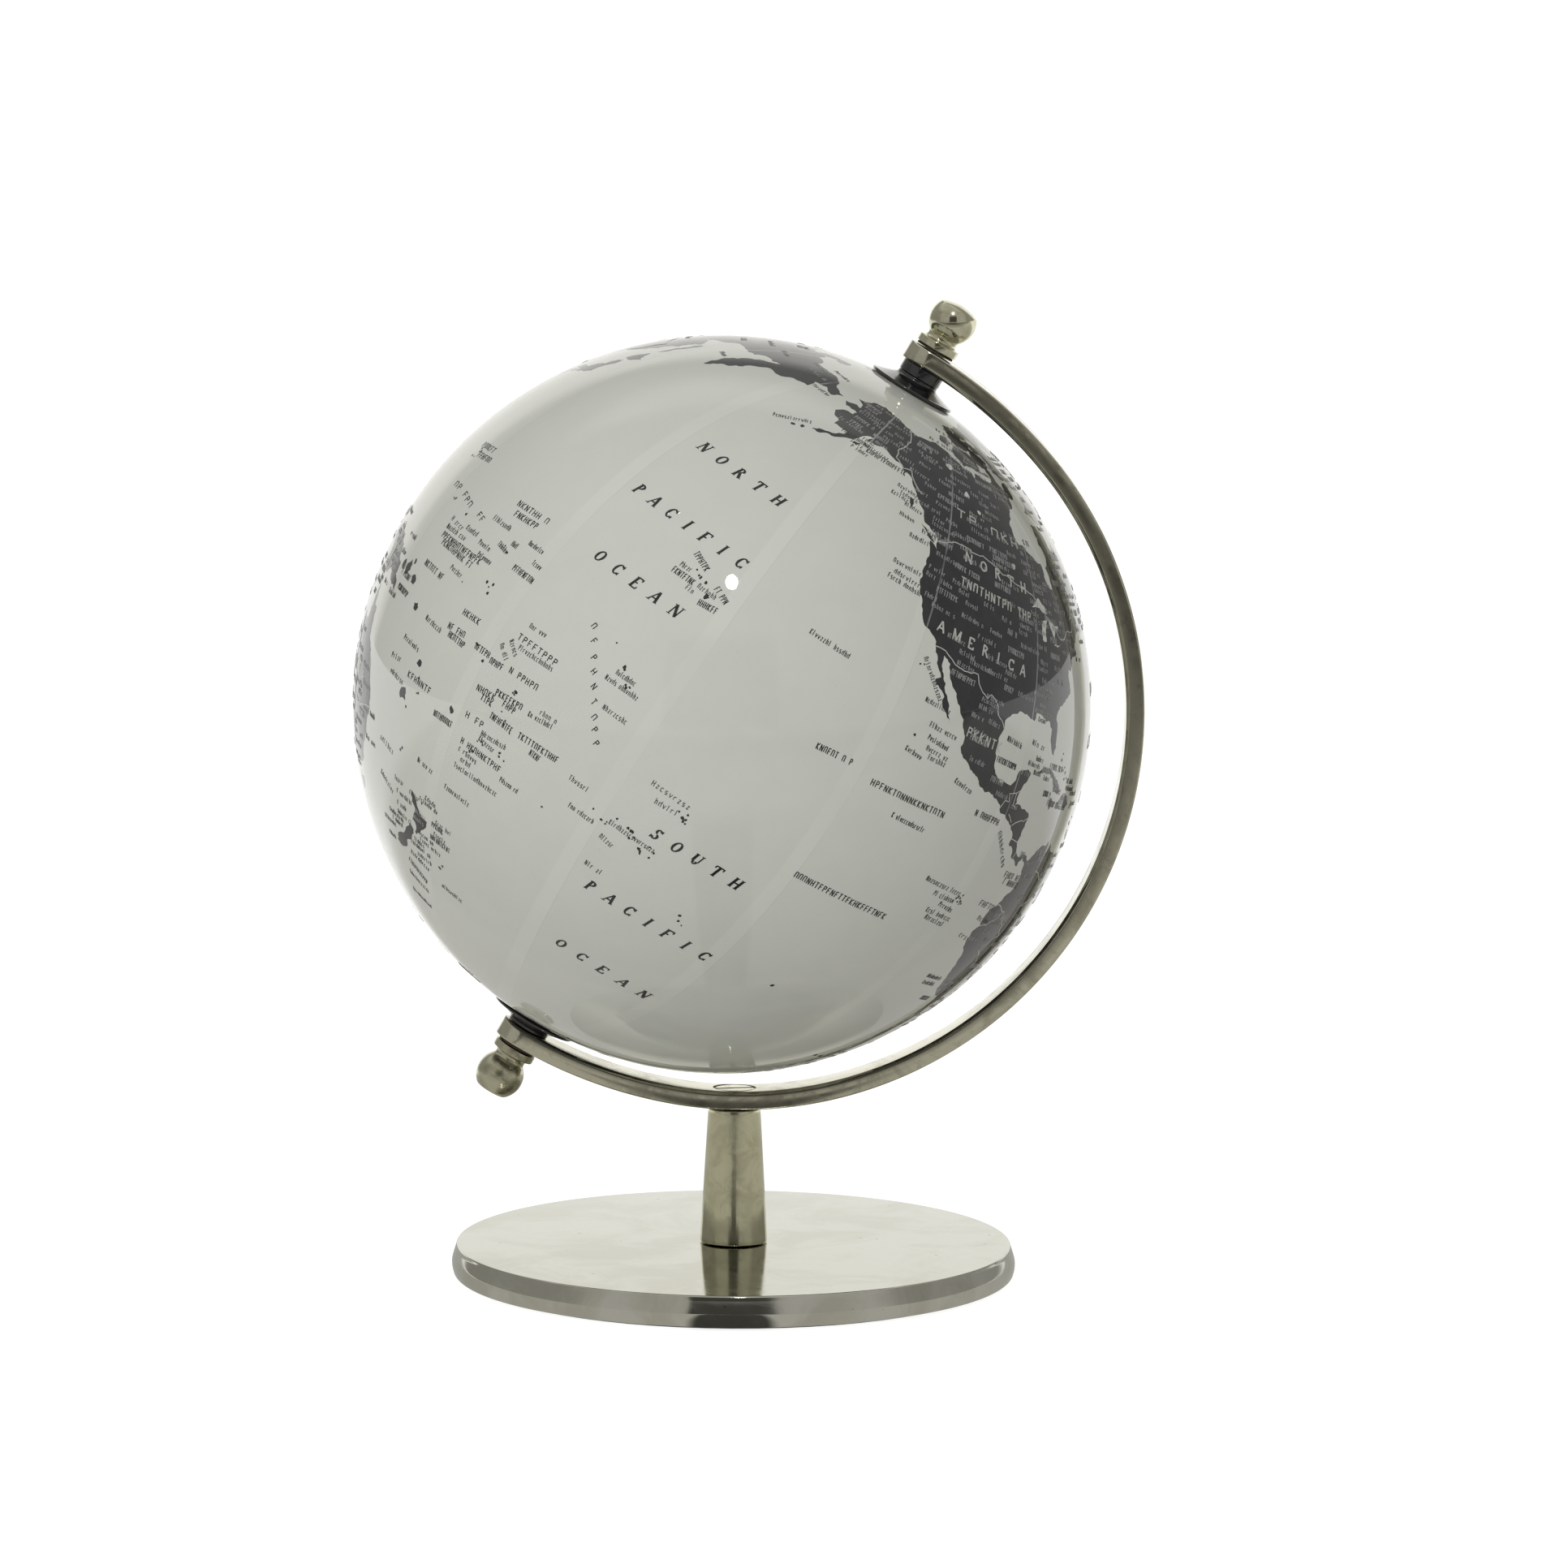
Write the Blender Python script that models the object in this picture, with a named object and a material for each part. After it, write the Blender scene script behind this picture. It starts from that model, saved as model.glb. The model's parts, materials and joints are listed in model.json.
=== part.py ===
"""Desk globe on a C-shaped arm: a base disc and stem, a bent flat bar, an axle rod with two turned knobs,
and a hollow globe that spins on plastic pole bushes.

Metres, +Z up; the origin is the middle of the underside."""

import math

import bmesh
import bpy

MM = 0.001
GAP = 0.3 * MM                      # clearance between neighbouring pieces
SHARP_ANGLE = math.radians(32.0)    # edges that turn more than this are shaded as creases
MERGE_DISTANCE = 1e-7

# Axle: its middle, and how far it leans from upright towards +X
AXLE_MIDDLE = (-3.2 * MM, 0.0, 158.6 * MM)
AXLE_TILT = math.radians(30.5)
ROD_RADIUS = 2.5 * MM
ROD_HALF_LENGTH = 118.0 * MM
ROD_CHAMFER = 0.6 * MM

# Arm: a flat bar, bent in one arc with straighter ends, given in the axle's frame (z along the axle)
BAR_THICKNESS = 5.0 * MM
BAR_WIDTH = 14.0 * MM
BAR_BEVEL = 0.5 * MM
ARC_CENTRE_X = 5.4 * MM             # the arc is off the axle, away from the poles
ARC_RADIUS = 106.3 * MM             # to the middle of the bar
END_RADIUS = 125.0 * MM
END_ANGLE = math.radians(20.0)
END_TAB_ANGLE = math.radians(80.0)  # how far round the half-round end the last flat lies
ARC_STEPS = 52
BORE_REACH = 130.0 * MM             # half length of the tool that bores both ends of the arm
TAB_STEPS = 6

# Globe: the shell has slid down the axle until its lower bush rests on the arm
GLOBE_RADIUS = 100.0 * MM
GLOBE_SLIDE = 1.45 * MM
SHELL_THICKNESS = 2.0 * MM
SHELL_SEGMENTS = 48
SHELL_RINGS = 11
POLE_HOLE_RADIUS = 5.3 * MM
RING_HALF_HEIGHT = 6.0 * MM
RING_THICKNESS = 2.0 * MM

# Pole bush
FLANGE_RADIUS = 12.2 * MM
FLANGE_MIDDLE = 9.0 * MM            # radius of the ring between the flange's edge and its neck
FLANGE_EDGE = 0.45 * MM
FLANGE_RISE = 1.2 * MM              # of its conical top, from the edge to the hub
FLANGE_SEAT = 0.12 * MM             # over the globe's true sphere, which the flat faces lie inside
FLANGE_CORNER = 0.15 * MM
HUB_RADIUS = 5.7 * MM
HUB_CHAMFER = 0.3 * MM
HUB_FILLET = 0.5 * MM               # where the hub meets the flange
HUB_TOP = 103.25 * MM               # from the globe's centre
BUSH_NECK_RADIUS = 5.0 * MM
BUSH_NECK_END = 92.0 * MM
TUBE_WALL = 1.4 * MM

# Knobs
KNOB_WASHER = 0.4 * MM
KNOB_WASHER_RADIUS = 5.4 * MM
COLLAR_RADIUS = 5.9 * MM
COLLAR_HEIGHT = 2.1 * MM
COLLAR_EDGE = 0.25 * MM
NECK_RADIUS = 4.3 * MM
BALL_RADIUS = 6.5 * MM
BALL_CENTRE = 119.7 * MM            # from the axle's middle
BALL_TOP = 124.6 * MM
BALL_ARC = (32, -37)                # degrees, where the flattened top and the neck meet the ball
KNOB_CROWN = ((0.0, 0.0), (2.4 * MM, 0.15 * MM), (4.1 * MM, 0.75 * MM))  # radius, drop from the top
KNOB_WAIST = ((0.15 * MM, 2.0 * MM), (0.0, 1.2 * MM), (0.25 * MM, 0.5 * MM), (0.8 * MM, 0.0))

# Stand
FELT_RADIUS = 72.0 * MM
FELT_THICKNESS = 0.7 * MM
FELT_EDGE = 0.15 * MM
BASE_BOTTOM = FELT_THICKNESS + GAP
BASE_TOP = 9.5 * MM
BASE_TOP_RADIUS = 75.7 * MM
BASE_WIDEST_RADIUS = 76.9 * MM
BASE_WIDEST_HEIGHT = 4.2 * MM
BASE_FOOT_RADIUS = 75.4 * MM
BASE_EDGE = 0.6 * MM                # rounding of the top edge
BASE_TUCK = 0.3 * MM                # how far the side draws in towards the foot
RECESS_RADIUS = 10.0 * MM
RECESS_TOP = 5.4 * MM
STEM_FOOT_RADIUS = 9.15 * MM
STEM_HEAD_RADIUS = 7.15 * MM
STEM_CHAMFER = 0.5 * MM
SCREW_RADIUS = 3.0 * MM
SCREW_HEAD_RADIUS = 5.6 * MM
SCREW_HEAD_HEIGHT = 2.8 * MM
SCREW_LENGTH = 16.0 * MM
SCREW_CORNER = 1.0 * MM
SCREW_TIP = 0.6 * MM
SINK_RIM = 0.4 * MM                 # straight rim of the countersunk head
SINK_CLEARANCE = 1.0 * MM           # how far the tool for its hole stands over the bar
BORE_DEPTH = 15.0 * MM
SLOT_WIDTH = 1.4 * MM
SLOT_DEPTH = 1.2 * MM
SLOT_LENGTH = 3 * SCREW_HEAD_RADIUS
WASHER_THICKNESS = 1.0 * MM
WASHER_RADIUS = 8.0 * MM

FINE, MEDIUM, SMALL = 64, 32, 24    # sides of the turned pieces


def clear_scene():
    for item in list(bpy.data.objects):
        bpy.data.objects.remove(item, do_unlink=True)


def finish(name, colour, metallic, roughness):
    """A plain Principled material."""
    material = bpy.data.materials.new(name)
    material.use_nodes = True
    shader = material.node_tree.nodes["Principled BSDF"]
    shader.inputs["Base Color"].default_value = (*colour, 1.0)
    shader.inputs["Metallic"].default_value = metallic
    shader.inputs["Roughness"].default_value = roughness
    return material


def add_object(name, bm, look, parent=None):
    """Closes up a bmesh and puts it in the scene with a material of its own."""
    bmesh.ops.remove_doubles(bm, verts=bm.verts, dist=MERGE_DISTANCE)
    bmesh.ops.recalc_face_normals(bm, faces=bm.faces)
    mesh = bpy.data.meshes.new(name)
    bm.to_mesh(mesh)
    bm.free()
    mesh.shade_smooth()
    mesh.set_sharp_from_angle(angle=SHARP_ANGLE)
    thing = bpy.data.objects.new(name, mesh)
    bpy.context.collection.objects.link(thing)
    if look:
        mesh.materials.append(finish(name, *look))
    thing.parent = parent
    return thing


def turned(name, profile, segments, look, parent=None):
    """Spins (radius, height) points about the z axis; a profile that ends on the axis is left open there."""
    bm = bmesh.new()
    verts = [bm.verts.new((radius, 0.0, height)) for radius, height in profile]
    edges = [bm.edges.new(pair) for pair in zip(verts, verts[1:])]
    if profile[0][0] > 0.0:
        edges.append(bm.edges.new((verts[-1], verts[0])))
    bmesh.ops.spin(bm, geom=verts + edges, axis=(0, 0, 1), cent=(0, 0, 0), angle=2 * math.pi,
                   steps=segments, use_merge=True)
    return add_object(name, bm, look, parent)


def box_cutter(name, size, centre):
    bm = bmesh.new()
    bmesh.ops.create_cube(bm, size=1.0)
    bmesh.ops.scale(bm, vec=size, verts=bm.verts)
    bmesh.ops.translate(bm, vec=centre, verts=bm.verts)
    return as_cutter(add_object(name, bm, None))


def as_cutter(thing):
    thing.hide_render = True
    thing.display_type = "WIRE"
    return thing


def cut(thing, cutter):
    step = thing.modifiers.new(cutter.name, "BOOLEAN")
    step.operation = "DIFFERENCE"
    step.solver = "EXACT"
    step.object = cutter


def arc(centre_r, centre_z, radius, start, end, steps):
    """Points on an arc, angles in degrees measured from the +r direction towards +z."""
    points = []
    for i in range(steps + 1):
        a = math.radians(start + (end - start) * i / steps)
        points.append((centre_r + radius * math.cos(a), centre_z + radius * math.sin(a)))
    return points


NICKEL = ((0.46, 0.43, 0.36), 1.0, 0.22)
BLACK_PLASTIC = ((0.012, 0.012, 0.013), 0.0, 0.18)
STEEL = ((0.52, 0.51, 0.49), 1.0, 0.35)
MAP_WHITE = ((0.72, 0.73, 0.68), 0.0, 0.12)
GREY_PLASTIC = ((0.30, 0.30, 0.29), 0.0, 0.5)
FIBRE = ((0.05, 0.035, 0.025), 0.0, 0.8)
FELT = ((0.015, 0.015, 0.016), 0.0, 0.95)


# ---- stand ----------------------------------------------------------------------------------------------

def arc_middle():
    """World x and z of the centre that the arm's arc is bent about."""
    return (AXLE_MIDDLE[0] + ARC_CENTRE_X * math.cos(AXLE_TILT),
            AXLE_MIDDLE[2] - ARC_CENTRE_X * math.sin(AXLE_TILT))


def arm_height(radius):
    """Height above the origin of the arm's surface of the given radius, over the stem."""
    x, z = arc_middle()
    return z - math.sqrt(radius * radius - x * x)


ARM_UNDERSIDE = arm_height(ARC_RADIUS + BAR_THICKNESS / 2)
ARM_UPPER_FACE = arm_height(ARC_RADIUS - BAR_THICKNESS / 2)
STEM_BOTTOM = BASE_TOP + GAP
STEM_TOP = ARM_UNDERSIDE - GAP


def make_felt():
    edge = FELT_EDGE
    profile = [(0.0, FELT_THICKNESS), (FELT_RADIUS - edge, FELT_THICKNESS), (FELT_RADIUS, edge),
               (FELT_RADIUS - edge, 0.0), (0.0, 0.0)]
    return turned("base_felt", profile, FINE, FELT)


def make_base():
    hole = SCREW_RADIUS + GAP
    edge = BASE_EDGE
    profile = [(hole, BASE_TOP)]
    profile += arc(BASE_TOP_RADIUS - edge, BASE_TOP - edge, edge, 90, 20, 3)
    profile += [(BASE_WIDEST_RADIUS, BASE_WIDEST_HEIGHT)]
    profile += [(BASE_WIDEST_RADIUS - BASE_TUCK, BASE_BOTTOM + edge * 2)]
    profile += [(BASE_FOOT_RADIUS, BASE_BOTTOM), (RECESS_RADIUS, BASE_BOTTOM)]
    profile += [(RECESS_RADIUS, RECESS_TOP), (hole, RECESS_TOP)]
    return turned("base_disc", profile, FINE, NICKEL)


def make_stem():
    bore = SCREW_RADIUS + GAP
    foot = STEM_FOOT_RADIUS
    head = STEM_HEAD_RADIUS
    profile = [(0.0, STEM_TOP - BORE_DEPTH), (bore, STEM_TOP - BORE_DEPTH), (bore, STEM_TOP)]
    profile += [(head - STEM_CHAMFER, STEM_TOP), (head, STEM_TOP - STEM_CHAMFER)]
    profile += [(foot, STEM_BOTTOM + STEM_CHAMFER), (foot - STEM_CHAMFER / 2, STEM_BOTTOM)]
    profile += [(bore, STEM_BOTTOM), (bore, STEM_BOTTOM + BORE_DEPTH), (0.0, STEM_BOTTOM + BORE_DEPTH)]
    return turned("stem", profile, MEDIUM, NICKEL)


def make_base_washer():
    top = RECESS_TOP - GAP
    low = top - WASHER_THICKNESS
    bore = SCREW_RADIUS + GAP
    profile = [(bore, top), (WASHER_RADIUS, top), (WASHER_RADIUS, low), (bore, low)]
    return turned("base_washer", profile, SMALL, STEEL)


def make_base_screw():
    """A slotted pan-head screw that comes up from the underside into the stem."""
    seat = RECESS_TOP - WASHER_THICKNESS - 2 * GAP
    low = seat - SCREW_HEAD_HEIGHT
    head = SCREW_HEAD_RADIUS
    corner = SCREW_CORNER
    tip = seat + SCREW_LENGTH
    profile = [(0.0, tip), (SCREW_RADIUS - SCREW_TIP, tip), (SCREW_RADIUS, tip - SCREW_TIP)]
    profile += [(SCREW_RADIUS, seat)]
    profile += [(head, seat)] + arc(head - corner, low + corner, corner, 0, -90, 3) + [(0.0, low)]
    screw = turned("base_screw", profile, SMALL, STEEL)
    size = (SLOT_LENGTH, SLOT_WIDTH, 2 * SLOT_DEPTH)
    cut(screw, box_cutter("base_screw_slot", size, (0.0, 0.0, low)))
    return screw


def countersunk(grow):
    """Profile of the arm's countersunk screw, or with grow > 0 of the hole that it needs."""
    top = ARM_UPPER_FACE
    head = SCREW_HEAD_RADIUS + grow
    shank = SCREW_RADIUS + grow
    tip = top - SCREW_LENGTH - grow
    return [(0.0, top), (head, top), (head, top - SINK_RIM), (shank, top - SCREW_HEAD_HEIGHT - grow),
            (shank, tip), (0.0, tip)]


def make_arm_screw():
    """A slotted countersunk screw, flush with the arm's upper face, that holds the arm on the stem."""
    screw = turned("arm_screw", countersunk(0.0), SMALL, NICKEL)
    size = (SLOT_LENGTH, SLOT_WIDTH, 2 * SLOT_DEPTH)
    cut(screw, box_cutter("arm_screw_slot", size, (0.0, 0.0, ARM_UPPER_FACE)))
    return screw


# ---- arm ------------------------------------------------------------------------------------------------

def arm_centreline(psi):
    """A point (x, z) of the bar's middle line and its outward normal; psi runs from 0 north to pi south."""
    shift = END_RADIUS - ARC_RADIUS
    from_pole = min(psi, math.pi - psi)
    side = 1.0 if psi < math.pi / 2 else -1.0
    normal = (math.sin(psi), math.cos(psi))
    if from_pole >= END_ANGLE:
        return (ARC_CENTRE_X + ARC_RADIUS * normal[0], ARC_RADIUS * normal[1]), normal
    x = ARC_CENTRE_X - shift * math.sin(END_ANGLE) + END_RADIUS * normal[0]
    z = -side * shift * math.cos(END_ANGLE) + END_RADIUS * normal[1]
    return (x, z), normal


def tab_stations(side):
    """The half-round end past the axle, from its tip inwards: points, normals and half widths."""
    half = BAR_WIDTH / 2
    height = side * arm_centreline(0.0)[0][1]
    stations = []
    for i in range(TAB_STEPS + 1):
        a = END_TAB_ANGLE * (1 - i / TAB_STEPS)
        stations.append(((-half * math.sin(a), height), (0.0, side), half * math.cos(a)))
    return stations


def bar_section(half_width):
    """Corner points (across the bar, outward) of the bevelled bar."""
    w, h = half_width, BAR_THICKNESS / 2
    b = min(BAR_BEVEL, 0.4 * half_width)
    return [(-w + b, h), (w - b, h), (w, h - b), (w, -h + b),
            (w - b, -h), (-w + b, -h), (-w, -h + b), (-w, h - b)]


def make_arm(parent):
    half = BAR_WIDTH / 2
    stations = tab_stations(1.0)
    for i in range(ARC_STEPS + 1):
        point, normal = arm_centreline(math.pi * i / ARC_STEPS)
        if point[0] > 0.5 * MM:
            stations.append((point, normal, half))
    stations += reversed(tab_stations(-1.0))
    bm = bmesh.new()
    rings = []
    for (x, z), (nx, nz), width in stations:
        ring = [bm.verts.new((x + nx * out, across, z + nz * out)) for across, out in bar_section(width)]
        rings.append(ring)
    for near, far in zip(rings, rings[1:]):
        for i in range(len(near)):
            j = (i + 1) % len(near)
            bm.faces.new((near[i], near[j], far[j], far[i]))
    bm.faces.new(rings[0])
    bm.faces.new(rings[-1])
    arm = add_object("meridian_arm", bm, NICKEL, parent)
    bore = ROD_RADIUS + GAP
    hole = [(0.0, -BORE_REACH), (bore, -BORE_REACH), (bore, BORE_REACH), (0.0, BORE_REACH)]
    cut(arm, as_cutter(turned("arm_axle_holes", hole, SMALL, None, parent)))
    top = ARM_UPPER_FACE + SINK_CLEARANCE
    sink = [(0.0, top), (SCREW_HEAD_RADIUS + GAP, top)] + countersunk(GAP)[2:]
    cut(arm, as_cutter(turned("arm_screw_hole", sink, SMALL, None)))
    return arm


# ---- axle -----------------------------------------------------------------------------------------------

TAB_OUTER = ARC_RADIUS + (END_RADIUS - ARC_RADIUS) * (1 - math.cos(END_ANGLE)) + BAR_THICKNESS / 2
TAB_INNER = TAB_OUTER - BAR_THICKNESS
KNOB_SEAT = TAB_OUTER + KNOB_WASHER + 2 * GAP


def flipped(profile, side):
    """A profile as it is for the north end, or upside down for the south end."""
    return [(radius, side * height) for radius, height in profile]


def make_rod(parent):
    chamfer = ROD_CHAMFER
    end = ROD_HALF_LENGTH
    profile = [(0.0, end), (ROD_RADIUS - chamfer, end), (ROD_RADIUS, end - chamfer)]
    profile += [(radius, -height) for radius, height in reversed(profile)]
    return turned("axle_rod", profile, SMALL, STEEL, parent)


def knob_profile():
    """Collar, waisted neck and a ball with a flattened top, hollow for the rod."""
    bore = ROD_RADIUS + GAP
    top_of_collar = KNOB_SEAT + COLLAR_HEIGHT
    edge = COLLAR_EDGE
    profile = [(radius, BALL_TOP - drop) for radius, drop in KNOB_CROWN]
    profile += arc(0.0, BALL_CENTRE, BALL_RADIUS, *BALL_ARC, 7)
    profile += [(NECK_RADIUS + flare, top_of_collar + height) for flare, height in KNOB_WAIST]
    profile += [(COLLAR_RADIUS - edge, top_of_collar), (COLLAR_RADIUS, top_of_collar - edge)]
    profile += [(COLLAR_RADIUS, KNOB_SEAT + edge), (COLLAR_RADIUS - edge, KNOB_SEAT)]
    profile += [(bore, KNOB_SEAT), (bore, ROD_HALF_LENGTH + 2 * GAP), (0.0, ROD_HALF_LENGTH + 2 * GAP)]
    return profile


def make_knob(name, side, parent):
    return turned(name, flipped(knob_profile(), side), SMALL, NICKEL, parent)


def ring_profile(inner, outer, low, high):
    return [(inner, high), (outer, high), (outer, low), (inner, low)]


def make_knob_washer(name, side, parent):
    low = TAB_OUTER + GAP
    profile = ring_profile(ROD_RADIUS + GAP, KNOB_WASHER_RADIUS, low, low + KNOB_WASHER)
    return turned(name, flipped(profile, side), SMALL, FIBRE, parent)


def make_spacer(parent):
    """The black ring that fills the axle above the upper bush."""
    low = HUB_TOP - GLOBE_SLIDE + GAP
    profile = ring_profile(ROD_RADIUS + GAP, HUB_RADIUS + GAP, low, TAB_INNER - GAP)
    return turned("pole_spacer", profile, SMALL, BLACK_PLASTIC, parent)


# ---- globe ----------------------------------------------------------------------------------------------

def shell_profile():
    """Half of the hollow globe, from its equator up to the pole hole."""
    seam = GAP / 2
    profile = []
    for radius, order in ((GLOBE_RADIUS, 1), (GLOBE_RADIUS - SHELL_THICKNESS, -1)):
        low = math.asin(seam / radius)
        high = math.acos(POLE_HOLE_RADIUS / radius)
        angles = [low + (high - low) * i / SHELL_RINGS for i in range(SHELL_RINGS + 1)]
        profile += [(radius * math.cos(a), radius * math.sin(a)) for a in angles[::order]]
    return profile


def make_shell(name, side, parent):
    return turned(name, flipped(shell_profile(), side), SHELL_SEGMENTS, MAP_WHITE, parent)


def make_joining_ring(parent):
    outer = GLOBE_RADIUS - SHELL_THICKNESS - 2 * GAP
    profile = ring_profile(outer - RING_THICKNESS, outer, -RING_HALF_HEIGHT, RING_HALF_HEIGHT)
    return turned("joining_ring", profile, SHELL_SEGMENTS, GREY_PLASTIC, parent)


def on_globe(radius):
    """Height over the globe's centre at which a ring of this radius rests on the globe."""
    return math.sqrt(GLOBE_RADIUS ** 2 - radius ** 2) + FLANGE_SEAT


def bush_profile():
    """A flange that lies on the globe, a hub outside it, and a neck through the pole hole."""
    bore = ROD_RADIUS + GAP
    edge = on_globe(FLANGE_RADIUS)
    hub_foot = edge + FLANGE_EDGE + FLANGE_RISE
    profile = [(bore, HUB_TOP), (HUB_RADIUS - HUB_CHAMFER, HUB_TOP), (HUB_RADIUS, HUB_TOP - HUB_CHAMFER)]
    profile += [(HUB_RADIUS, hub_foot + HUB_FILLET / 2), (HUB_RADIUS + HUB_FILLET, hub_foot)]
    profile += [(FLANGE_RADIUS - FLANGE_CORNER, edge + FLANGE_EDGE), (FLANGE_RADIUS, edge + FLANGE_EDGE / 2)]
    profile += [(FLANGE_RADIUS - FLANGE_CORNER, edge)]
    profile += [(FLANGE_MIDDLE, on_globe(FLANGE_MIDDLE)), (BUSH_NECK_RADIUS, on_globe(BUSH_NECK_RADIUS))]
    profile += [(BUSH_NECK_RADIUS, BUSH_NECK_END), (bore, BUSH_NECK_END)]
    return profile


def make_bush(name, side, parent):
    return turned(name, flipped(bush_profile(), side), MEDIUM, BLACK_PLASTIC, parent)


def make_axle_tube(parent):
    """The tube inside the globe that keeps the two bushes apart."""
    half = BUSH_NECK_END - GAP
    profile = ring_profile(BUSH_NECK_RADIUS - TUBE_WALL, BUSH_NECK_RADIUS, -half, half)
    return turned("axle_tube", profile, SMALL, GREY_PLASTIC, parent)


def empty(name, location, rotation=(0.0, 0.0, 0.0), parent=None):
    marker = bpy.data.objects.new(name, None)
    marker.location = location
    marker.rotation_euler = rotation
    marker.parent = parent
    bpy.context.collection.objects.link(marker)
    return marker


def build():
    clear_scene()
    make_felt()
    make_base()
    make_stem()
    make_base_washer()
    make_base_screw()
    make_arm_screw()
    axle = empty("axle_frame", AXLE_MIDDLE, (0.0, AXLE_TILT, 0.0))
    make_arm(axle)
    make_rod(axle)
    make_spacer(axle)
    globe = empty("globe_frame", (0.0, 0.0, -GLOBE_SLIDE), parent=axle)
    make_joining_ring(globe)
    make_axle_tube(globe)
    for end, side in (("north", 1.0), ("south", -1.0)):
        make_shell("globe_shell_" + end, side, globe)
        make_bush("pole_bush_" + end, side, globe)
    for end, side in (("upper", 1.0), ("lower", -1.0)):
        make_knob("knob_" + end, side, axle)
        make_knob_washer("knob_washer_" + end, side, axle)


build()
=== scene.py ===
"""Looks of the desk globe: a lacquered map ball, a nickel-plated arm, knobs, stem and base, black bushes.

Metres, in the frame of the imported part. The map is drawn as geometry from outlines in degrees, and every
finish is a node material."""
import json
import math
import random

import bmesh
import bpy
import numpy as np
from mathutils import Matrix, Vector
from mathutils.geometry import delaunay_2d_cdt


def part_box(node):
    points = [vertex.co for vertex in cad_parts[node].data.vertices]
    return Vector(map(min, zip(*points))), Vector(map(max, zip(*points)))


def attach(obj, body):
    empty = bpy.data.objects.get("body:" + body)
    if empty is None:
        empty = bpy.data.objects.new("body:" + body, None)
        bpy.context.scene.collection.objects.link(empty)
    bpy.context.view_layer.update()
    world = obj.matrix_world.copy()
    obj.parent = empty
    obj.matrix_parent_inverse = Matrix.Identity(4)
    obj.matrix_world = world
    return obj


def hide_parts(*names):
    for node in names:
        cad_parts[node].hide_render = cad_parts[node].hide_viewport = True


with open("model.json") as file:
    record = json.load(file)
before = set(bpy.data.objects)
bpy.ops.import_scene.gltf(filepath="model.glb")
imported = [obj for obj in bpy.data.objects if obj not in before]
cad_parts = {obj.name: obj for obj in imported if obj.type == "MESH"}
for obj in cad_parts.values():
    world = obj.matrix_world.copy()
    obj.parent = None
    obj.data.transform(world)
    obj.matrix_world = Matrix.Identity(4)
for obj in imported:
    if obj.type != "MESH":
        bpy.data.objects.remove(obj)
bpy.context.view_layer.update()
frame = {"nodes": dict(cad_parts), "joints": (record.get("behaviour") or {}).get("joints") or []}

MM = 0.001
SEED = 7

# ---- where things are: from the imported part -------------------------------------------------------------

JOINT = frame["joints"][0]
AXIS = Vector(JOINT["axis"]).normalized()
AXLE_MIDDLE = Vector(JOINT["pos_m"])
SHELL_LOW, SHELL_HIGH = (Vector(map(pick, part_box("globe_shell_north")[i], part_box("globe_shell_south")[i]))
                         for i, pick in enumerate((min, max)))
BALL_MIDDLE = (SHELL_LOW + SHELL_HIGH) / 2
BALL_RADIUS = (SHELL_HIGH.y - SHELL_LOW.y) / 2
SIDEWAYS = Vector((AXIS.z, 0.0, -AXIS.x))
ACROSS = Vector((0.0, 1.0, 0.0))


def axle_matrix(origin):
    """Turns local coordinates, z along the axle and y across it, into the frame's."""
    turn = Matrix((SIDEWAYS, ACROSS, AXIS)).transposed()
    return Matrix.Translation(origin) @ turn.to_4x4()


AXLE = axle_matrix(AXLE_MIDDLE)
BALL = axle_matrix(BALL_MIDDLE)

# The printed map sits a little askew on the axle
MAP_MERIDIAN = -140.42              # longitude that faces the viewer
MAP_LEAN = math.radians(32.66)
MAP_NOD = math.radians(1.18)
MAP_NORTH = Vector((math.sin(MAP_LEAN) * math.cos(MAP_NOD), -math.sin(MAP_NOD),
                    math.cos(MAP_LEAN) * math.cos(MAP_NOD)))
_right = Vector((math.cos(MAP_LEAN), 0.0, -math.sin(MAP_LEAN)))
MAP_X = (_right - MAP_NORTH * _right.dot(MAP_NORTH)).normalized()
MAP_Y = MAP_NORTH.cross(MAP_X)

INK_TOP = BALL_RADIUS - 0.03 * MM
SKIN = BALL_RADIUS - 0.07 * MM      # paper, under the raised ink
INK_FOOT = BALL_RADIUS - 0.15 * MM
SKIN_INSIDE = BALL_RADIUS - 1.4 * MM
POLE_HOLE = 5.3 * MM

# ---- outlines, longitude and latitude in degrees --------------------------------------------------------

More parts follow.
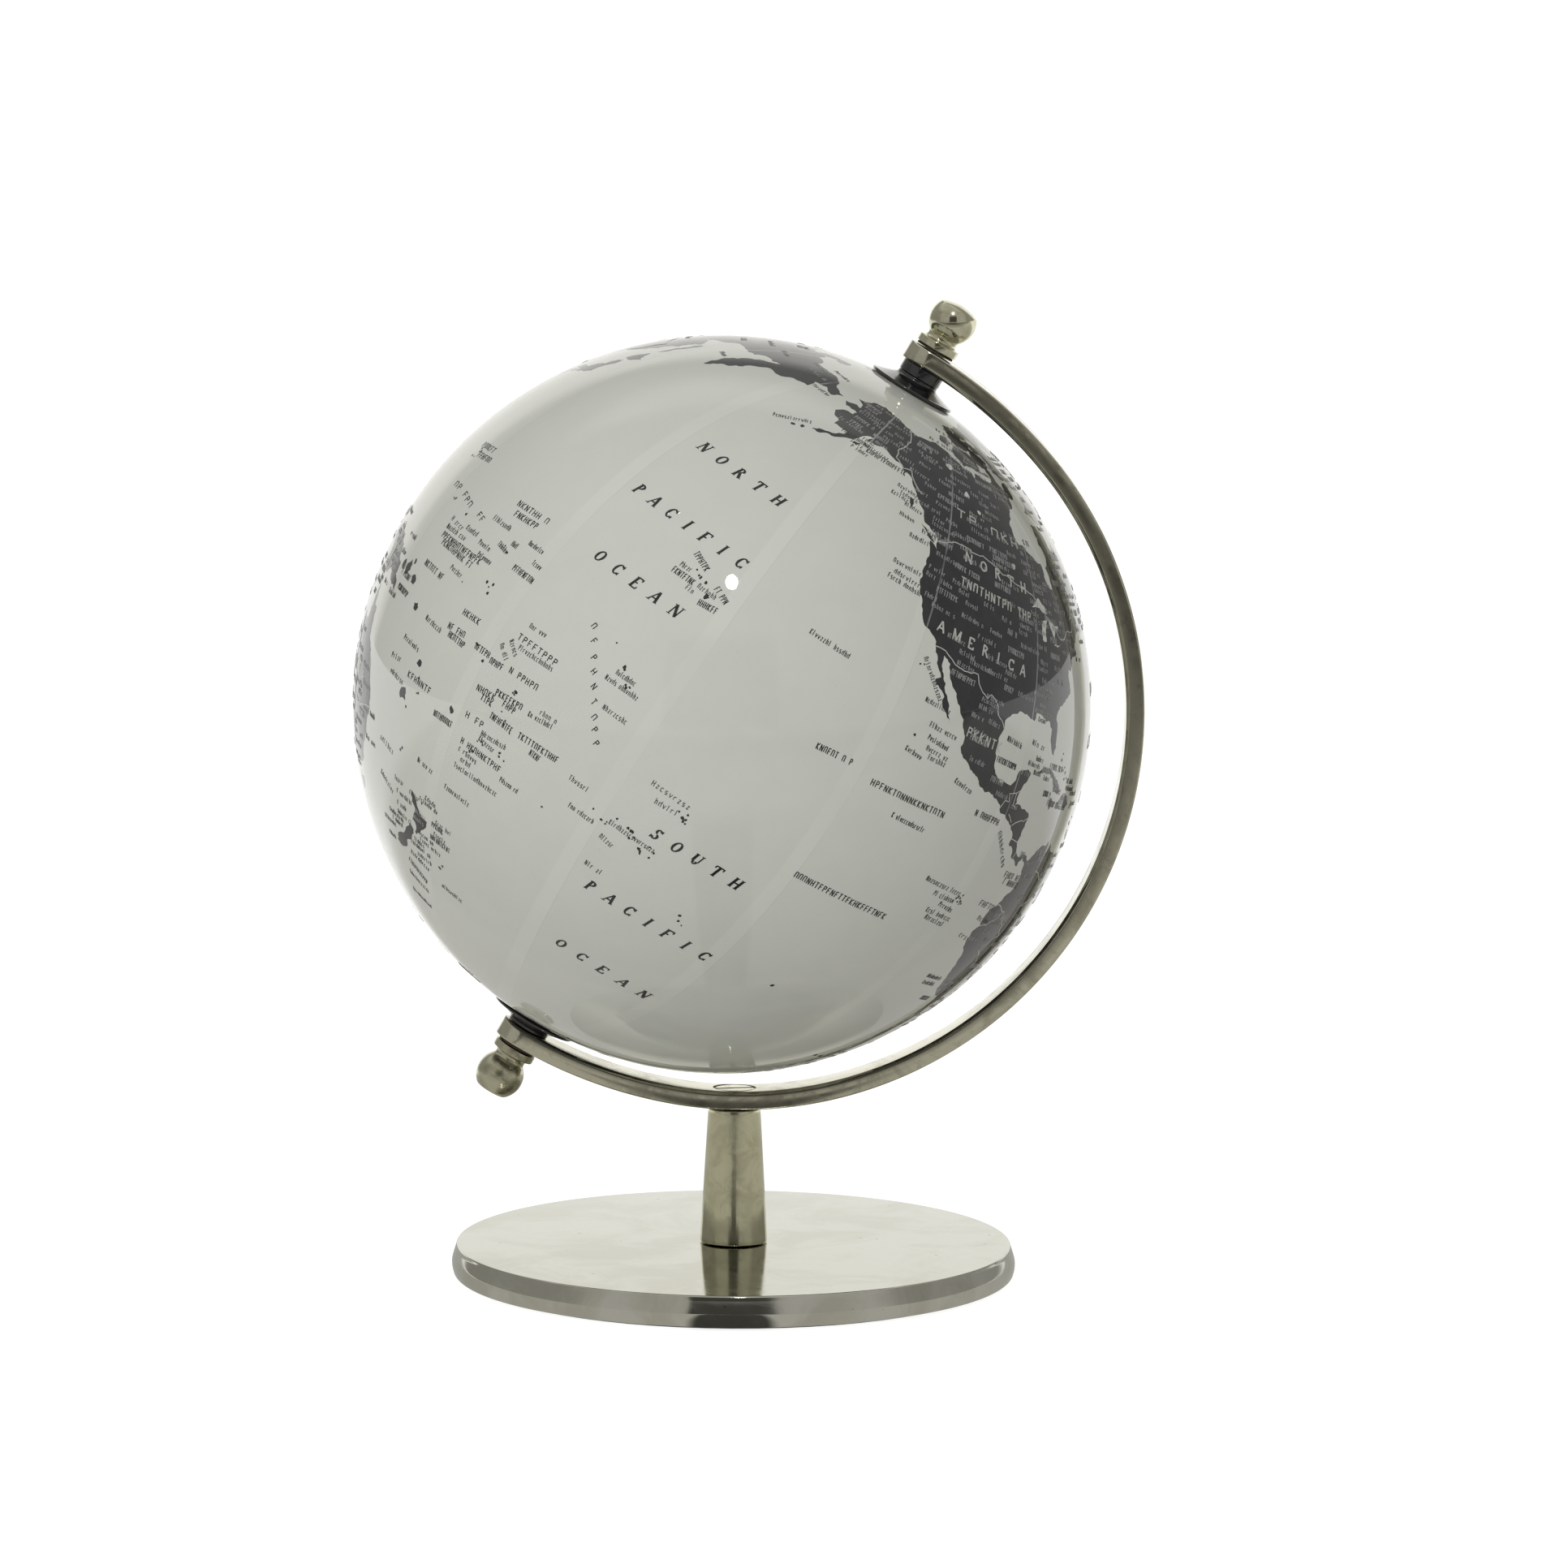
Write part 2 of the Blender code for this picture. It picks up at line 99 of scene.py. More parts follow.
LAND = {
    "north_america": """-168 65.6 -164 66.5 -162 66.2 -162.5 67.1 -166.7 68.4 -163 69.2 -161.8 70.3 -156.6
71.3 -152 70.8 -146 70.1 -141 69.6 -137 69 -134 69.5 -128 70.5 -124.5 70.1 -121 69.8 -117 68.9 -114 68.1
-109 67.9 -108 66.8 -107 68.2 -102 67.8 -98 67.8 -96 68.3 -95.5 69.5 -96.3 71.2 -94.5 72 -92.5 71 -91.5 69.7
-90 68.6 -87.8 67.3 -85.5 69.4 -82.5 69.7 -81.3 69 -81.5 67.6 -83.5 66.3 -86.5 66.5 -87 65.2 -88.5 64.1 -91
63.7 -92 62.8 -94.5 60.6 -94.2 58.8 -92.5 57 -90 57.1 -87 56 -85 55.3 -82.3 55.2 -82.2 53 -81.5 52 -80 51.2
-78.9 51.3 -78.9 52.8 -79.6 54.7 -76.6 56.5 -76.7 57.5 -78.5 58.8 -77.5 60 -77.7 61.5 -78 62.4 -75 62.2
-73.5 62.4 -72 61.6 -70 61 -69.5 58.9 -67.8 58.3 -66 58.8 -64.6 60.3 -63.5 59 -61.9 57.4 -60.3 55.6 -57.5
54.6 -55.7 52.3 -58 51.3 -60 50.2 -66.5 50.2 -68.5 49 -71 46.9 -69 48.2 -64.3 48.9 -65.5 47.9 -64.5 46.3 -62
45.8 -60 47 -60 46 -61.5 45.2 -63.5 44.6 -66 43.5 -66 44.4 -64.5 45.4 -67 45 -69 44.1 -70.5 43.2 -70.8 42.5
-70 42 -70 41.6 -72 41.2 -74 40.6 -74.2 39.5 -75.1 38.7 -76.3 38.9 -76 37.1 -75.7 36.2 -75.6 35.2 -77.5 34.3
-79 33.3 -81 32 -81.4 30.6 -80.5 28.3 -80.1 26.5 -80.5 25.2 -81.7 25.9 -82.7 27.8 -82.8 29 -84 30 -85.3 29.7
-87 30.4 -89 30.3 -89.2 29.1 -90.5 29.2 -92 29.6 -94 29.6 -95.5 28.8 -97.2 27.6 -97.3 25.9 -97.8 22.5 -97.2
20.6 -96.2 19.2 -94.3 18.2 -92.5 18.5 -91.5 18.5 -90.6 19.5 -90.4 21 -88.5 21.6 -86.9 21.5 -87.5 19.8 -88.3
18.4 -88.3 16.5 -88.8 15.9 -85 15.9 -83.3 15 -83.6 13 -83.7 11 -82.5 9.4 -81.2 8.8 -79.8 9.5 -78.5 9.4 -77.3
8.6 -77.9 7.3 -78.4 8.3 -79.6 8.9 -80.4 8.1 -80.3 7.4 -81.2 7.6 -82.9 8.2 -83.6 8.6 -84 9.5 -85.8 10.1 -85.7
11.1 -87.5 12.9 -89 13.4 -91.5 14 -93.5 15.6 -95 16.1 -97 15.9 -99 16.6 -102 18 -104.3 19.1 -105.6 20.4
-105.4 21.6 -106.5 23.2 -108 25 -109.5 26.6 -110.9 27.9 -112.2 29 -113.1 31.1 -114.8 31.8 -114.7 30.5 -112.8
28 -111.3 25.8 -110.4 24.3 -109.4 23.1 -110.3 23.4 -112.2 25 -112.2 26 -115.1 27.8 -114.1 28.5 -115.8 30.2
-116.7 31.6 -117.2 32.7 -118.4 33.8 -120.5 34.5 -121.9 36.6 -122.5 37.8 -123.8 39.3 -124.3 40.4 -124.2 42
-124.1 44 -124 46.2 -124.7 48.4 -122.5 47.5 -122.8 49 -127.2 51 -128 52.5 -130.2 54.4 -131.5 55.5 -133.5 57
-135 58.3 -137 58.4 -139.5 59.6 -143 60 -146 60.8 -148.5 60 -151.5 59.3 -150 61.2 -153.3 59.6 -154.2 58.3
-156.5 57.2 -158.5 56 -161.5 55.2 -164.5 54.6 -162.5 55.8 -159 56.8 -157.5 57.8 -157.2 58.8 -160 58.7 -162
58.7 -162 60 -165.3 61.2 -166 61.7 -164.7 63 -161.2 63.5 -161 64.5 -166 64.5""",
    "south_america": """-77.3 8.7 -75.6 10.6 -74.8 11.1 -71.7 12.4 -71.3 11 -71.6 9.5 -70.2 12.1 -68.2 10.7
-65 10.1 -62.8 10.7 -61 9.6 -60.8 8.6 -58.4 6.8 -55 5.9 -51.7 4 -50 .5 -51 -.5 -48.3 -.8 -46 -1.2 -44 -2.7
-41.5 -2.9 -38.5 -3.8 -35.3 -5.2 -34.9 -7.5 -36.5 -10.5 -38.5 -13 -39.1 -16 -39.2 -17.8 -41 -22 -43.5 -23
-46 -24 -48.6 -26 -48.8 -28.5 -50.5 -30.5 -53.5 -34 -56 -34.9 -58.4 -34 -57.3 -36 -58 -38.3 -62 -39 -62.2
-40.7 -65 -41 -63.7 -42.8 -65.5 -45 -67.5 -46.2 -65.8 -48.2 -68.2 -50.2 -68.4 -52.4 -68.2 -53.2 -65.3 -54.7
-69 -55.3 -72 -54 -75 -52 -75.5 -49 -75.6 -46.8 -72.8 -42.5 -73.8 -41.5 -73.6 -39 -73.4 -37 -71.7 -33.5
-71.5 -30 -70.6 -26 -70.3 -20 -71.5 -17.6 -75.5 -15 -76.3 -13.5 -78.8 -8.5 -81 -6 -81.3 -4.5 -80.3 -3.3
-80.9 -2 -80.3 0 -78.8 1.5 -77.3 3.8 -77.4 6.5 -77.9 7.3""",
    "eurasia": """190 66.1 185 67 180 69 176 69.8 170.5 69.6 167 69.6 161.5 69.4 159.5 70.7 152 71 149.5
72.2 140.5 72.8 139.5 71.5 133 71.4 129.3 72 127 73.4 123.5 73 119 73.1 113.4 74 107.5 73.1 113 75.8 104.2
77.7 99 76.4 93 75.8 87 75 80.5 73.6 82 72 74.8 72.8 74.5 71.8 73 69 73.8 67.5 72 66.4 72.5 71.2 69.5 72.9
66.8 69.8 68.5 68.5 60.5 69.8 57 68.7 53.5 68.6 48 67.7 43.3 68.6 44 66.6 40.5 64.6 35 64.3 32.8 67 38.5
66.1 41.1 66.8 40 67.7 33 69.4 31 70.3 25.7 71.1 19 69.8 14.5 68.2 12.5 66 10.5 64 5.5 62 5 59 7 58 10.3
59.2 11.3 58.8 12.9 56 14.3 55.5 16.2 56.6 16.8 58.6 18.8 60 17.2 61.2 17.8 62.6 21.5 64.5 22.5 65.8 25.3
65.2 21.5 63 21.5 61.2 23 59.9 28 60.5 30 59.9 27.5 59.4 23.5 59.2 24.3 57.9 21.5 57.5 21.1 55 19.5 54.4
16.5 54.5 14 53.9 11 54 10.8 56.3 10.5 57.7 8.2 57 8.2 55.5 8.8 54 7 53.5 4.8 52.9 3.5 51.5 1.7 50.9 .2 49.6
-1.8 49.6 -1.5 48.7 -4.7 48.5 -2.2 47.2 -1.2 45.5 -1.6 43.4 -9.2 43.1 -8.8 41.2 -9.4 38.8 -8.9 37 -6.4 36.9
-5.6 36 -2 36.8 -.3 39.5 .8 40.8 3.2 42 3.1 43.2 5 43.4 7.5 43.8 9 44.4 10.3 43.2 12.3 41.7 14.5 40.6 15.7
39 16.1 38 16.9 40.4 18.5 40.1 16.1 41.9 14 42.7 13.6 43.6 12.4 44.6 12.4 45.4 13.7 45.6 13.8 44.9 16.5 43.4
19 42 19.5 40.5 20.9 38.8 21.7 36.9 23 36.5 24 37.8 23 39 22.9 40.4 26 40.8 28.9 41.1 28 42 28 43.4 29.6
45.2 31 46.5 33.5 46.1 32.6 45.3 33.5 44.5 36.5 45.3 35 46.3 38 47.1 39.3 47.1 37.5 44.7 39.7 43.4 41.5 42
38 41 35 42 32 41.6 29.2 41.1 26.5 39.8 26.3 38.3 27.3 37 29.5 36.2 30.7 36.9 32.8 36 34.6 36.8 36.1 36.5
35.9 35 34.2 31.3 32.5 31.1 32.4 29.8 34.2 27.8 34.9 29.5 35 28 37 25.5 39 21.5 42.7 16 43.2 12.8 45 12.8 49
14.2 52.2 15.7 57.7 19 59.7 22.4 58.5 23.7 56.4 26.3 54 24.2 51.5 24.2 51.5 26 50.8 25.5 50 26.7 48.7 28.4
48 30 49.5 30.2 51 28.9 53 26.8 56 27.1 57 25.8 61 25.2 66.5 25.2 67.4 24 69 22.3 70.5 20.8 72.6 21.5 72.8
19 73.5 16 74.8 13 76.5 9.5 77.5 8.1 79.3 10.3 80.3 13.2 80.1 15.5 82.3 16.7 86.8 20.5 87 21.5 90 22 91.8
22.4 94.3 18.3 94.3 16 97.7 15.5 98.6 12.5 98.3 8 100.3 6.4 101.3 3.2 103.5 1.3 103.5 4 102.2 6.2 99.3 9.3
99.2 10.5 100 13.4 101 12.6 103.5 10.6 105 8.7 106.8 10.4 109.2 12 108.9 15 105.8 19 106.7 20.7 108.5 21.7
110.3 20.4 111.5 21.6 114.2 22.4 117 23.6 119.5 25.5 121.7 28.5 121.5 32 119.3 35.1 122.5 37.2 118 38.9
121.2 39 124 39.9 126.6 37 126.4 34.5 129 35.2 129.4 37 127.5 39.5 130.7 42.3 133 42.8 136 44.5 138.5 46.8
140.5 50 141.3 53.2 135.3 54.7 138.5 56.5 143 59.3 148.5 59.5 154.5 60 157 61.7 163.3 62.5 160 60.5 155.7
55.5 156.5 51.2 158.5 53 162.5 56.2 163.3 58 166 60 170.5 60 174 61.8 179.3 62.5 178 64.6 182.5 65.5 187
64.4""",
    "africa": """33 31.1 29 30.9 25 31.6 20 32.5 19 30.3 15.3 32.3 11 33.4 10.2 34.3 11 37 9.8 37.3 5 36.8
-2 35.1 -5.5 35.8 -6.5 34 -9.8 31.3 -13 27.7 -17 21 -16.5 16 -17.5 14.7 -16.7 12.4 -13.3 9 -11.3 6.8 -7.6
4.4 -4 5.3 -2 4.7 1.2 6 4.5 6.3 6 4.3 8.6 4.6 9.7 3.5 9.4 1 8.8 -.8 12.2 -5.8 13.3 -8.5 13.8 -11 11.8 -17.5
14.5 -22.5 15.2 -27 18.3 -32.5 18.3 -34 20 -34.8 23.5 -34 28 -33 31 -30 32.9 -26 35.4 -24 34.8 -19.8 37
-17.7 40.5 -15 40.6 -11 39.5 -7 39 -4.5 43.5 .8 46 2.8 50.8 10 51.2 11.8 48 11.2 44.5 10.4 43.2 11.5 42.7 13
39.6 15.5 37.2 21 35.5 24 33 29.9""",
    "australia": """142.2 -10.8 143.5 -14.3 145.3 -15 146.2 -18.8 148.8 -20.3 150.8 -23 153.4 -28.2 152.5
-32.5 150.2 -36 150 -37.5 146.5 -38.9 143.5 -38.8 140.6 -38 139.7 -36.2 138.5 -34.5 137 -35.2 137.8 -33
135.8 -34.9 134 -32.7 131 -31.5 126 -32.3 123.7 -33.9 119.9 -34 117.8 -35.1 115.2 -34.3 115.7 -32 114.2 -28
113.5 -24 114.3 -21.8 116.8 -20.6 119.5 -20 122.2 -18 123.5 -17.2 124.5 -15.3 126.5 -14 129.6 -14.9 130.8
-12.4 132.7 -11.4 136.8 -12.2 135.6 -14.9 139.2 -17.4 140.9 -17.4 141.6 -14 141.7 -12.3""",
    "antarctica": """-180 -78 -165 -78.3 -158 -77 -150 -76.8 -135 -74.7 -120 -73.8 -103 -72.5 -85 -73.3 -75
-72.5 -68 -70 -66 -66.5 -60 -63.8 -57 -63.4 -60 -65.5 -61.5 -68.5 -61 -72.5 -62 -75.5 -75 -78 -60 -80 -45
-78 -35 -78 -26 -76.3 -15 -73 0 -70.3 15 -69.8 33 -69 50 -67 56 -66 68 -68 71 -69.5 78 -68.5 88 -66.7 100
-66 113 -66 135 -66 145 -67 155 -68.8 165 -70.6 171 -71.7 168 -74 164 -77.5""",
    "new_guinea": """131 -.8 134 -.8 135.2 -3.3 137.8 -1.5 141 -2.6 144.5 -3.8 145.8 -5.4 147.8 -6.2 148 -8
150.8 -10.4 147 -9.4 144.5 -7.7 143 -9.2 141 -9.1 138 -8.4 138.7 -6.8 133 -4 132.8 -2.8""",
    "nz_north": """172.7 -34.4 174.3 -35.2 175.5 -36.6 178.5 -37.7 177.9 -39.2 176.5 -40.8 175.2 -41.6 174.7
-41.3 175.1 -40 173.8 -39.3 174.5 -37 173 -35.2""",
    "nz_south": """172.7 -40.5 174.2 -41.2 173.5 -42.6 172.8 -43.7 171.2 -44.4 170.6 -46 168.9 -46.6 166.7
-46.1 168.2 -44.1 170.9 -42.6 171.7 -41.6""",
    "greenland": """-73 78.2 -68 76 -58 75 -54 69.5 -53.5 67 -51.5 64 -48.5 61 -44 60 -42.5 62 -40 65 -33 68
-22 70.5 -22 73 -19.5 76 -16 81.5 -22 82.5 -33 83.6 -46 82.5 -60 82 -65 80.5""",
    "baffin": """-65 61.9 -70 62.8 -74 64.4 -77.5 64.6 -73 66 -72.5 67.7 -77 69.7 -84 70.2 -89 71.2 -89.5
73.5 -84.5 73.6 -80 73.7 -77 72.7 -71 71 -68 70 -67 68.6 -61.8 66.6""",
    "ellesmere": "-61.5 82.4 -70 83.1 -85 82.3 -92 81.3 -87 79.5 -86 77.3 -80 76.3 -75 78.8 -68 80.3",
    "victoria": "-117 73 -118 71.2 -117 69.9 -113 68.5 -105 69 -101.8 69.9 -105 72.7 -110 73",
    "banks": "-125 72 -121 71.5 -118 73 -121 74.3 -125 73.9",
    "newfoundland": "-59.3 47.9 -55.9 46.9 -53 46.7 -53.5 48.5 -55.8 49.9 -55.6 51.5 -57.2 50.8 -58.5 49",
    "vancouver": "-128.2 50.6 -125 49.4 -123.4 48.4 -125.3 48.8",
    "kodiak": "-154.8 57.2 -152.6 57.3 -152 58.3 -153.4 57.9",
    "haida": "-133 54.1 -131.7 54 -131.3 52.3 -132.5 53",
    "cuba": "-84.9 21.9 -82.5 23.1 -79.5 22.8 -75.7 21 -74.2 20.2 -77.6 19.9 -78 20.8 -81.8 22.2",
    "hispaniola": "-74.4 18.5 -72.8 19.9 -70 19.8 -68.4 18.6 -71 17.8",
    "britain": """-5.7 50.1 1.3 51.1 1.7 52.7 .2 53.2 -1.5 55 -2 57.6 -5 58.6 -6 56.7 -5 55 -3.2 54.2 -4.5
53.3 -5.2 51.8 -3.2 51.4""",
    "ireland": "-10 51.7 -6.3 52.3 -5.6 54.6 -7.5 55.3 -10 54.2",
    "iceland": "-24 65.5 -22.3 66.4 -16 66.5 -13.7 65 -18.5 63.5 -22.6 63.9",
    "madagascar": "49.3 -12 50.4 -15.6 47.2 -25 45 -25.5 43.4 -22 44.2 -16.2 47 -15.3",
    "sri_lanka": "80 9.6 81.8 7.2 80.8 6 79.8 7.5",
    "honshu": """131 34 132.5 35.5 136 35.8 137.2 37.4 139.3 38.2 140 40.5 141.4 41.3 142 39.5 141 38.2
140.8 35.8 139 34.8 135.8 33.5 135 34.6""",
    "kyushu": "130 33.5 131.8 33.4 131.3 31.4 130.3 31.2 129.8 32.7",
    "shikoku": "132.3 33.7 134.5 34.2 134.2 33.3 132.8 32.9",
    "hokkaido": "140 41.6 140.4 43.3 141.8 45.4 143 44.3 145.3 43.4 143.2 42",
    "sakhalin": "142 46.3 142 49 142.3 53.4 143.2 53.5 143.3 49.5 143 47",
    "taiwan": "120.2 23 121.5 25.2 121 22.1",
    "luzon": "120.4 16 120.7 18.5 122.2 18.4 121.6 15.8 124 12.8 121 13.8",
    "mindanao": "122 7 123.5 8.6 125.5 9.8 126.5 7.5 125.4 5.7",
    "borneo": """109 1.6 111.3 2.6 113 3.3 116.8 7 119 5.2 117.7 3.5 118.8 .9 116.3 -3.6 114.5 -4.1 111.8
-3.4 110 -1.5""",
    "sumatra": "95.3 5.6 97.5 5.2 100.4 2.5 103.7 -.8 106 -3 105.8 -5.8 101 -2.2 98.7 1.6",
    "java": "105.2 -6.8 108.3 -6.6 110.8 -6.4 114.4 -7.8 114.2 -8.6 110 -8.1 106.5 -7.4",
    "sulawesi": """119.7 .5 121 1.2 124.8 1.5 123.5 .4 120.4 .3 120.8 -1.3 123.2 -.9 121.8 -2 122.5 -4.5 121
-2.9 120.3 -5.5 119.5 -5.3 119.2 -3""",
    "tasmania": "144.8 -40.9 148.2 -40.9 147.8 -43 146.5 -43.5",
    "novaya_zemlya": "51.8 71.5 55.5 73.5 60 76 68 76.8 60 74.7 57 72.5 57.2 70.7 53.5 70.9",
}
LAKES = {
    "superior": "-92 46.7 -88.5 48.7 -86 47.8 -84.7 46.6 -87 46.5 -90 47",
    "michigan": "-87.9 42 -86.3 42 -86.3 44 -85.2 45.7 -87.4 45.2 -88 43.5",
    "huron": "-84.3 45.8 -80 45.3 -80.2 44.6 -81.7 44.6 -82.4 43 -83.4 44",
    "erie": "-83.2 41.8 -79 42.8 -81.2 41.8",
    "ontario": "-79.6 43.3 -76.5 44 -77 43.4",
    "caspian": """47 44.5 50 46.5 53 46.7 53 45 51 44.5 51.5 42 53 40 54 37 51 36.7 49 38 49.3 40.3 47.6
42.8""",
    "baikal": "104 51.6 107 52.8 109.8 55.6 108.5 53 106 51.6",
}
# Round patches: longitude, latitude, radius in degrees
LAND_BLOBS = """-99 73 2.2 -96 75.6 1.6 -110 75.5 2.2 -115 77.3 1.6 -103 78.5 1.5 -85 75.5 2.4 -95 79.6 2.3
-77.4 18.1 .9 -66.3 18.3 .7 -60.3 -51.8 1 165.3 -21.3 1 178 -17.8 .6 167 -15.5 .6 159.8 -9 .7 155.2 -6.2 .9
151.5 -5.6 1.3 149.5 -5.9 .9 153 -4 .5 -155.5 19.6 .45 18 78.5 2.5 124 -9 1.2 120.5 -8.6 .8 117.8 -8.6 .7
122.8 10.5 .9 125 11.8 .7 109.8 19.2 .9 9.1 40.1 .9 9.1 42.2 .5 14.2 37.6 .9 24.8 35.2 .6 33.2 35 .5 -166.5
53.8 .4 -168.5 53 .35 -74 -43 .9 139 80.4 1 142.5 73.5 1.6 150 75.2 1.2 -2 60.3 .4 70 -49.3 .8"""
LAKE_BLOBS = """-121 66 .7 -114 61.7 .6 -97.5 52.2 .5 59.8 45 1.2 33 -1 1.4 30 -6 .6 34.5 -12 .6 -109.5 59.2
.4"""
DOTS = """-157.9 21.4 -156.4 20.8 -159.5 22 -139.8 -8.9 -140.1 -9.4 -139.1 -10 -138.7 -10.5 -149.5 -17.6
-151.4 -16.8 -147.5 -15.9 -145.1 -16.1 -144.2 -17 -142.5 -18.3 -141 -18.2 -143.1 -17.4 -140.8 -17 -171.7
-13.8 -172.4 -13.5 -170.7 -14.3 -175.2 -21.1 -174 -18.7 -169.9 -19.1 -159.8 -21.2 166.9 -.5 171.2 7.1 172.9
1.4 173 .9 158.2 6.9 151.8 7.4 144.8 13.4 145.7 15.2 -90.5 -.4 -91.2 -.8 -90.3 -.7 -91.4 -.3 -89.6 -.8
-109.3 -27.1 -130.1 -25.1 179.2 -8.5 177.1 -7.2 -176.6 -44 -157.4 1.9 -159.4 3.9 -162.1 5.9 -172 -9.4 -171.2
-9.2 168.2 -17.5 169 -19.5 167.9 -29 166.6 -22.4 -25 37.8 -28.6 38.5 -17 32.7 -15.5 28.1 -16.6 28.3 -13.9
28.3 -23.5 15.1 -24.3 16.6 55.5 -21.1 57.6 -20.3 55.5 -4.7 73.5 4.2 73.2 .6 -61.5 16.2 -61.4 15.4 -61 13.9
-61.2 13.2 -59.6 13.1 -76 26 -77.5 24.5 -75 23.5 -73.5 22.3 -114.7 18.8 -118.3 29 -5.7 -16 -14.4 -7.9 -12.3
-37.1 -36.5 -54.4"""
# Country borders, a bar between one line and the next
BORDERS = """-123 49 -95.2 49 -89.5 48.2 -82.4 45.3 -79 43.2 -76 44.2 -74.7 45 -71.5 45 -69.2 47.4 -67.8
45.7 -67 45 | -141 69.6 -141 60.3 -137.5 59 -135 59.5 -130 56 | -117.1 32.5 -114.8 32.6 -111 31.3 -108.2
31.4 -106.5 31.8 -104.5 29.6 -103.1 29 -102.3 29.9 -101 29.5 -99.5 27.5 -97.2 25.9 | -92.2 14.6 -91.5 16.1
-90.4 16.1 -91 17.3 -89.2 17.8 -88.3 18.4 | -89.2 17.8 -89.1 15.9 -88.3 15.7 | -89.3 14.4 -87.8 13.4 | -87.3
13 -85.8 13.9 -83.2 15 | -85.7 11.1 -83.7 10.9 | -82.9 8.3 -82.6 9.5 | -79.1 .8 -75.3 -.1 -78.4 -2.9 -80.3
-3.4 | -75.3 -.1 -72.4 -2.4 -70 -4.3 -69.9 1.1 -67.3 2 -67.3 6 -72 7.5 -71.3 11.8 | -70 -4.3 -73.9 -7.4
-70.6 -9.5 -69.5 -11 -69 -15 -69.5 -17.5 -68 -22 -65 -22.2 -62.6 -22.2 -58.1 -20.2 -57.6 -25.5 -54.6 -25.6
-53.8 -27.1 -57.6 -30.2 | -69.5 -11 -65.3 -10 -60.2 -14 -58.1 -20.2 | -67.3 2 -64.1 4.1 -60.7 5.1 -59.8 2.3
-55.9 2.3 -51.7 4.1 | -68 -22 -68.4 -24.5 -70.1 -31 -70.5 -36 -71.6 -40.5 -71.8 -46 -73.3 -50.5 -68.5 -52.3
| 8.6 27.7 -8.7 27.7 -5 25 1.2 21.1 4.2 19.2 12 23.5 15.9 23.4 24 19.5 25 22 25 31.6 | 25 22 36.9 22 | 12
23.5 9.5 30.3 11.5 33.2 | -12 14.8 -8 15.5 -5.5 15.5 -4.2 16.7 3.5 15.5 4.2 19.2 | 14 13 13.6 13.7 3.6 11.7
2.7 6.3 | 24 19.5 22.9 11 27.4 5 30.9 3.6 35.9 4.6 41.9 3.9 41 -1 | 9 -1 14.4 2 18.6 3.5 27.4 5 | 12.3 -6
16.9 -5.9 21.8 -7.3 24 -11 33 -9.5 34 -1 41 -1.7 | 24 -11 24 -18 21 -18.3 11.8 -17.3 | 20 -18 20 -25 16.5
-28.6 | 20 -25 29.4 -22.1 31.3 -22.4 32.9 -26.9 | 33 -9.5 34.8 -11.6 32.8 -16 31.3 -22.4 | 7.5 53.3 6 50 7.6
47.6 13 46.7 16 48.6 12.3 50.4 14.3 53.9 | 16 48.6 22.3 48.6 24 50.5 23.5 54 | -1.5 43.4 3 42.4 | 28 60.6 30
64 28.6 68.5 30.8 69.7 | 12 61 12 64 18 68.5 28.6 68.5 | 23.5 54 28 56 31 52.2 40 49.5 38.3 47.1 | 40 43.5
47.5 41.5 49 37.5 | 26.2 41.8 29.5 45.3 | 44.8 39.7 44.8 36 48 30 | 36 36.8 42 37.2 46 34 | 39 32 35 29.5 |
39 32 47.7 29 55 22.7 55 20 52 19 43 17 | 53.9 37.3 61.2 36.6 61 31.5 61.6 25.2 | 49 46 51 51 61 51 69 55 80
51 87.4 49.1 98 50 116 49.8 127 49.8 134.8 48.4 130.7 42.3 | 87.4 49.1 80 45 73.7 39.5 74.9 37.2 79 32.5 81
30.2 92 27.8 97.4 28.2 98.7 24 101.5 21.3 106.7 22 108 21.6 | 74.9 37.2 71 34.4 66.3 30 61 29.8 | 79 32.5
74.4 31 70 27.5 68.2 23.7 | 97.4 28.2 94.6 25 92.3 21 | 98.7 24 100.5 20 98 16 99 12 | 101.5 21.3 105 18.7
107.5 14.5 105.8 11.2 | 87.4 49.1 96 43 105 41.6 111 44.5 119.8 46.7 116 49.8 | 141 -2.6 141 -9.1 | 129
-14.9 129 -31.6 | 138 -16.8 138 -26 141 -26 141 -34 141 -38 | 129 -26 138 -26 | 141 -29 149 -29 153.4 -28.2"""

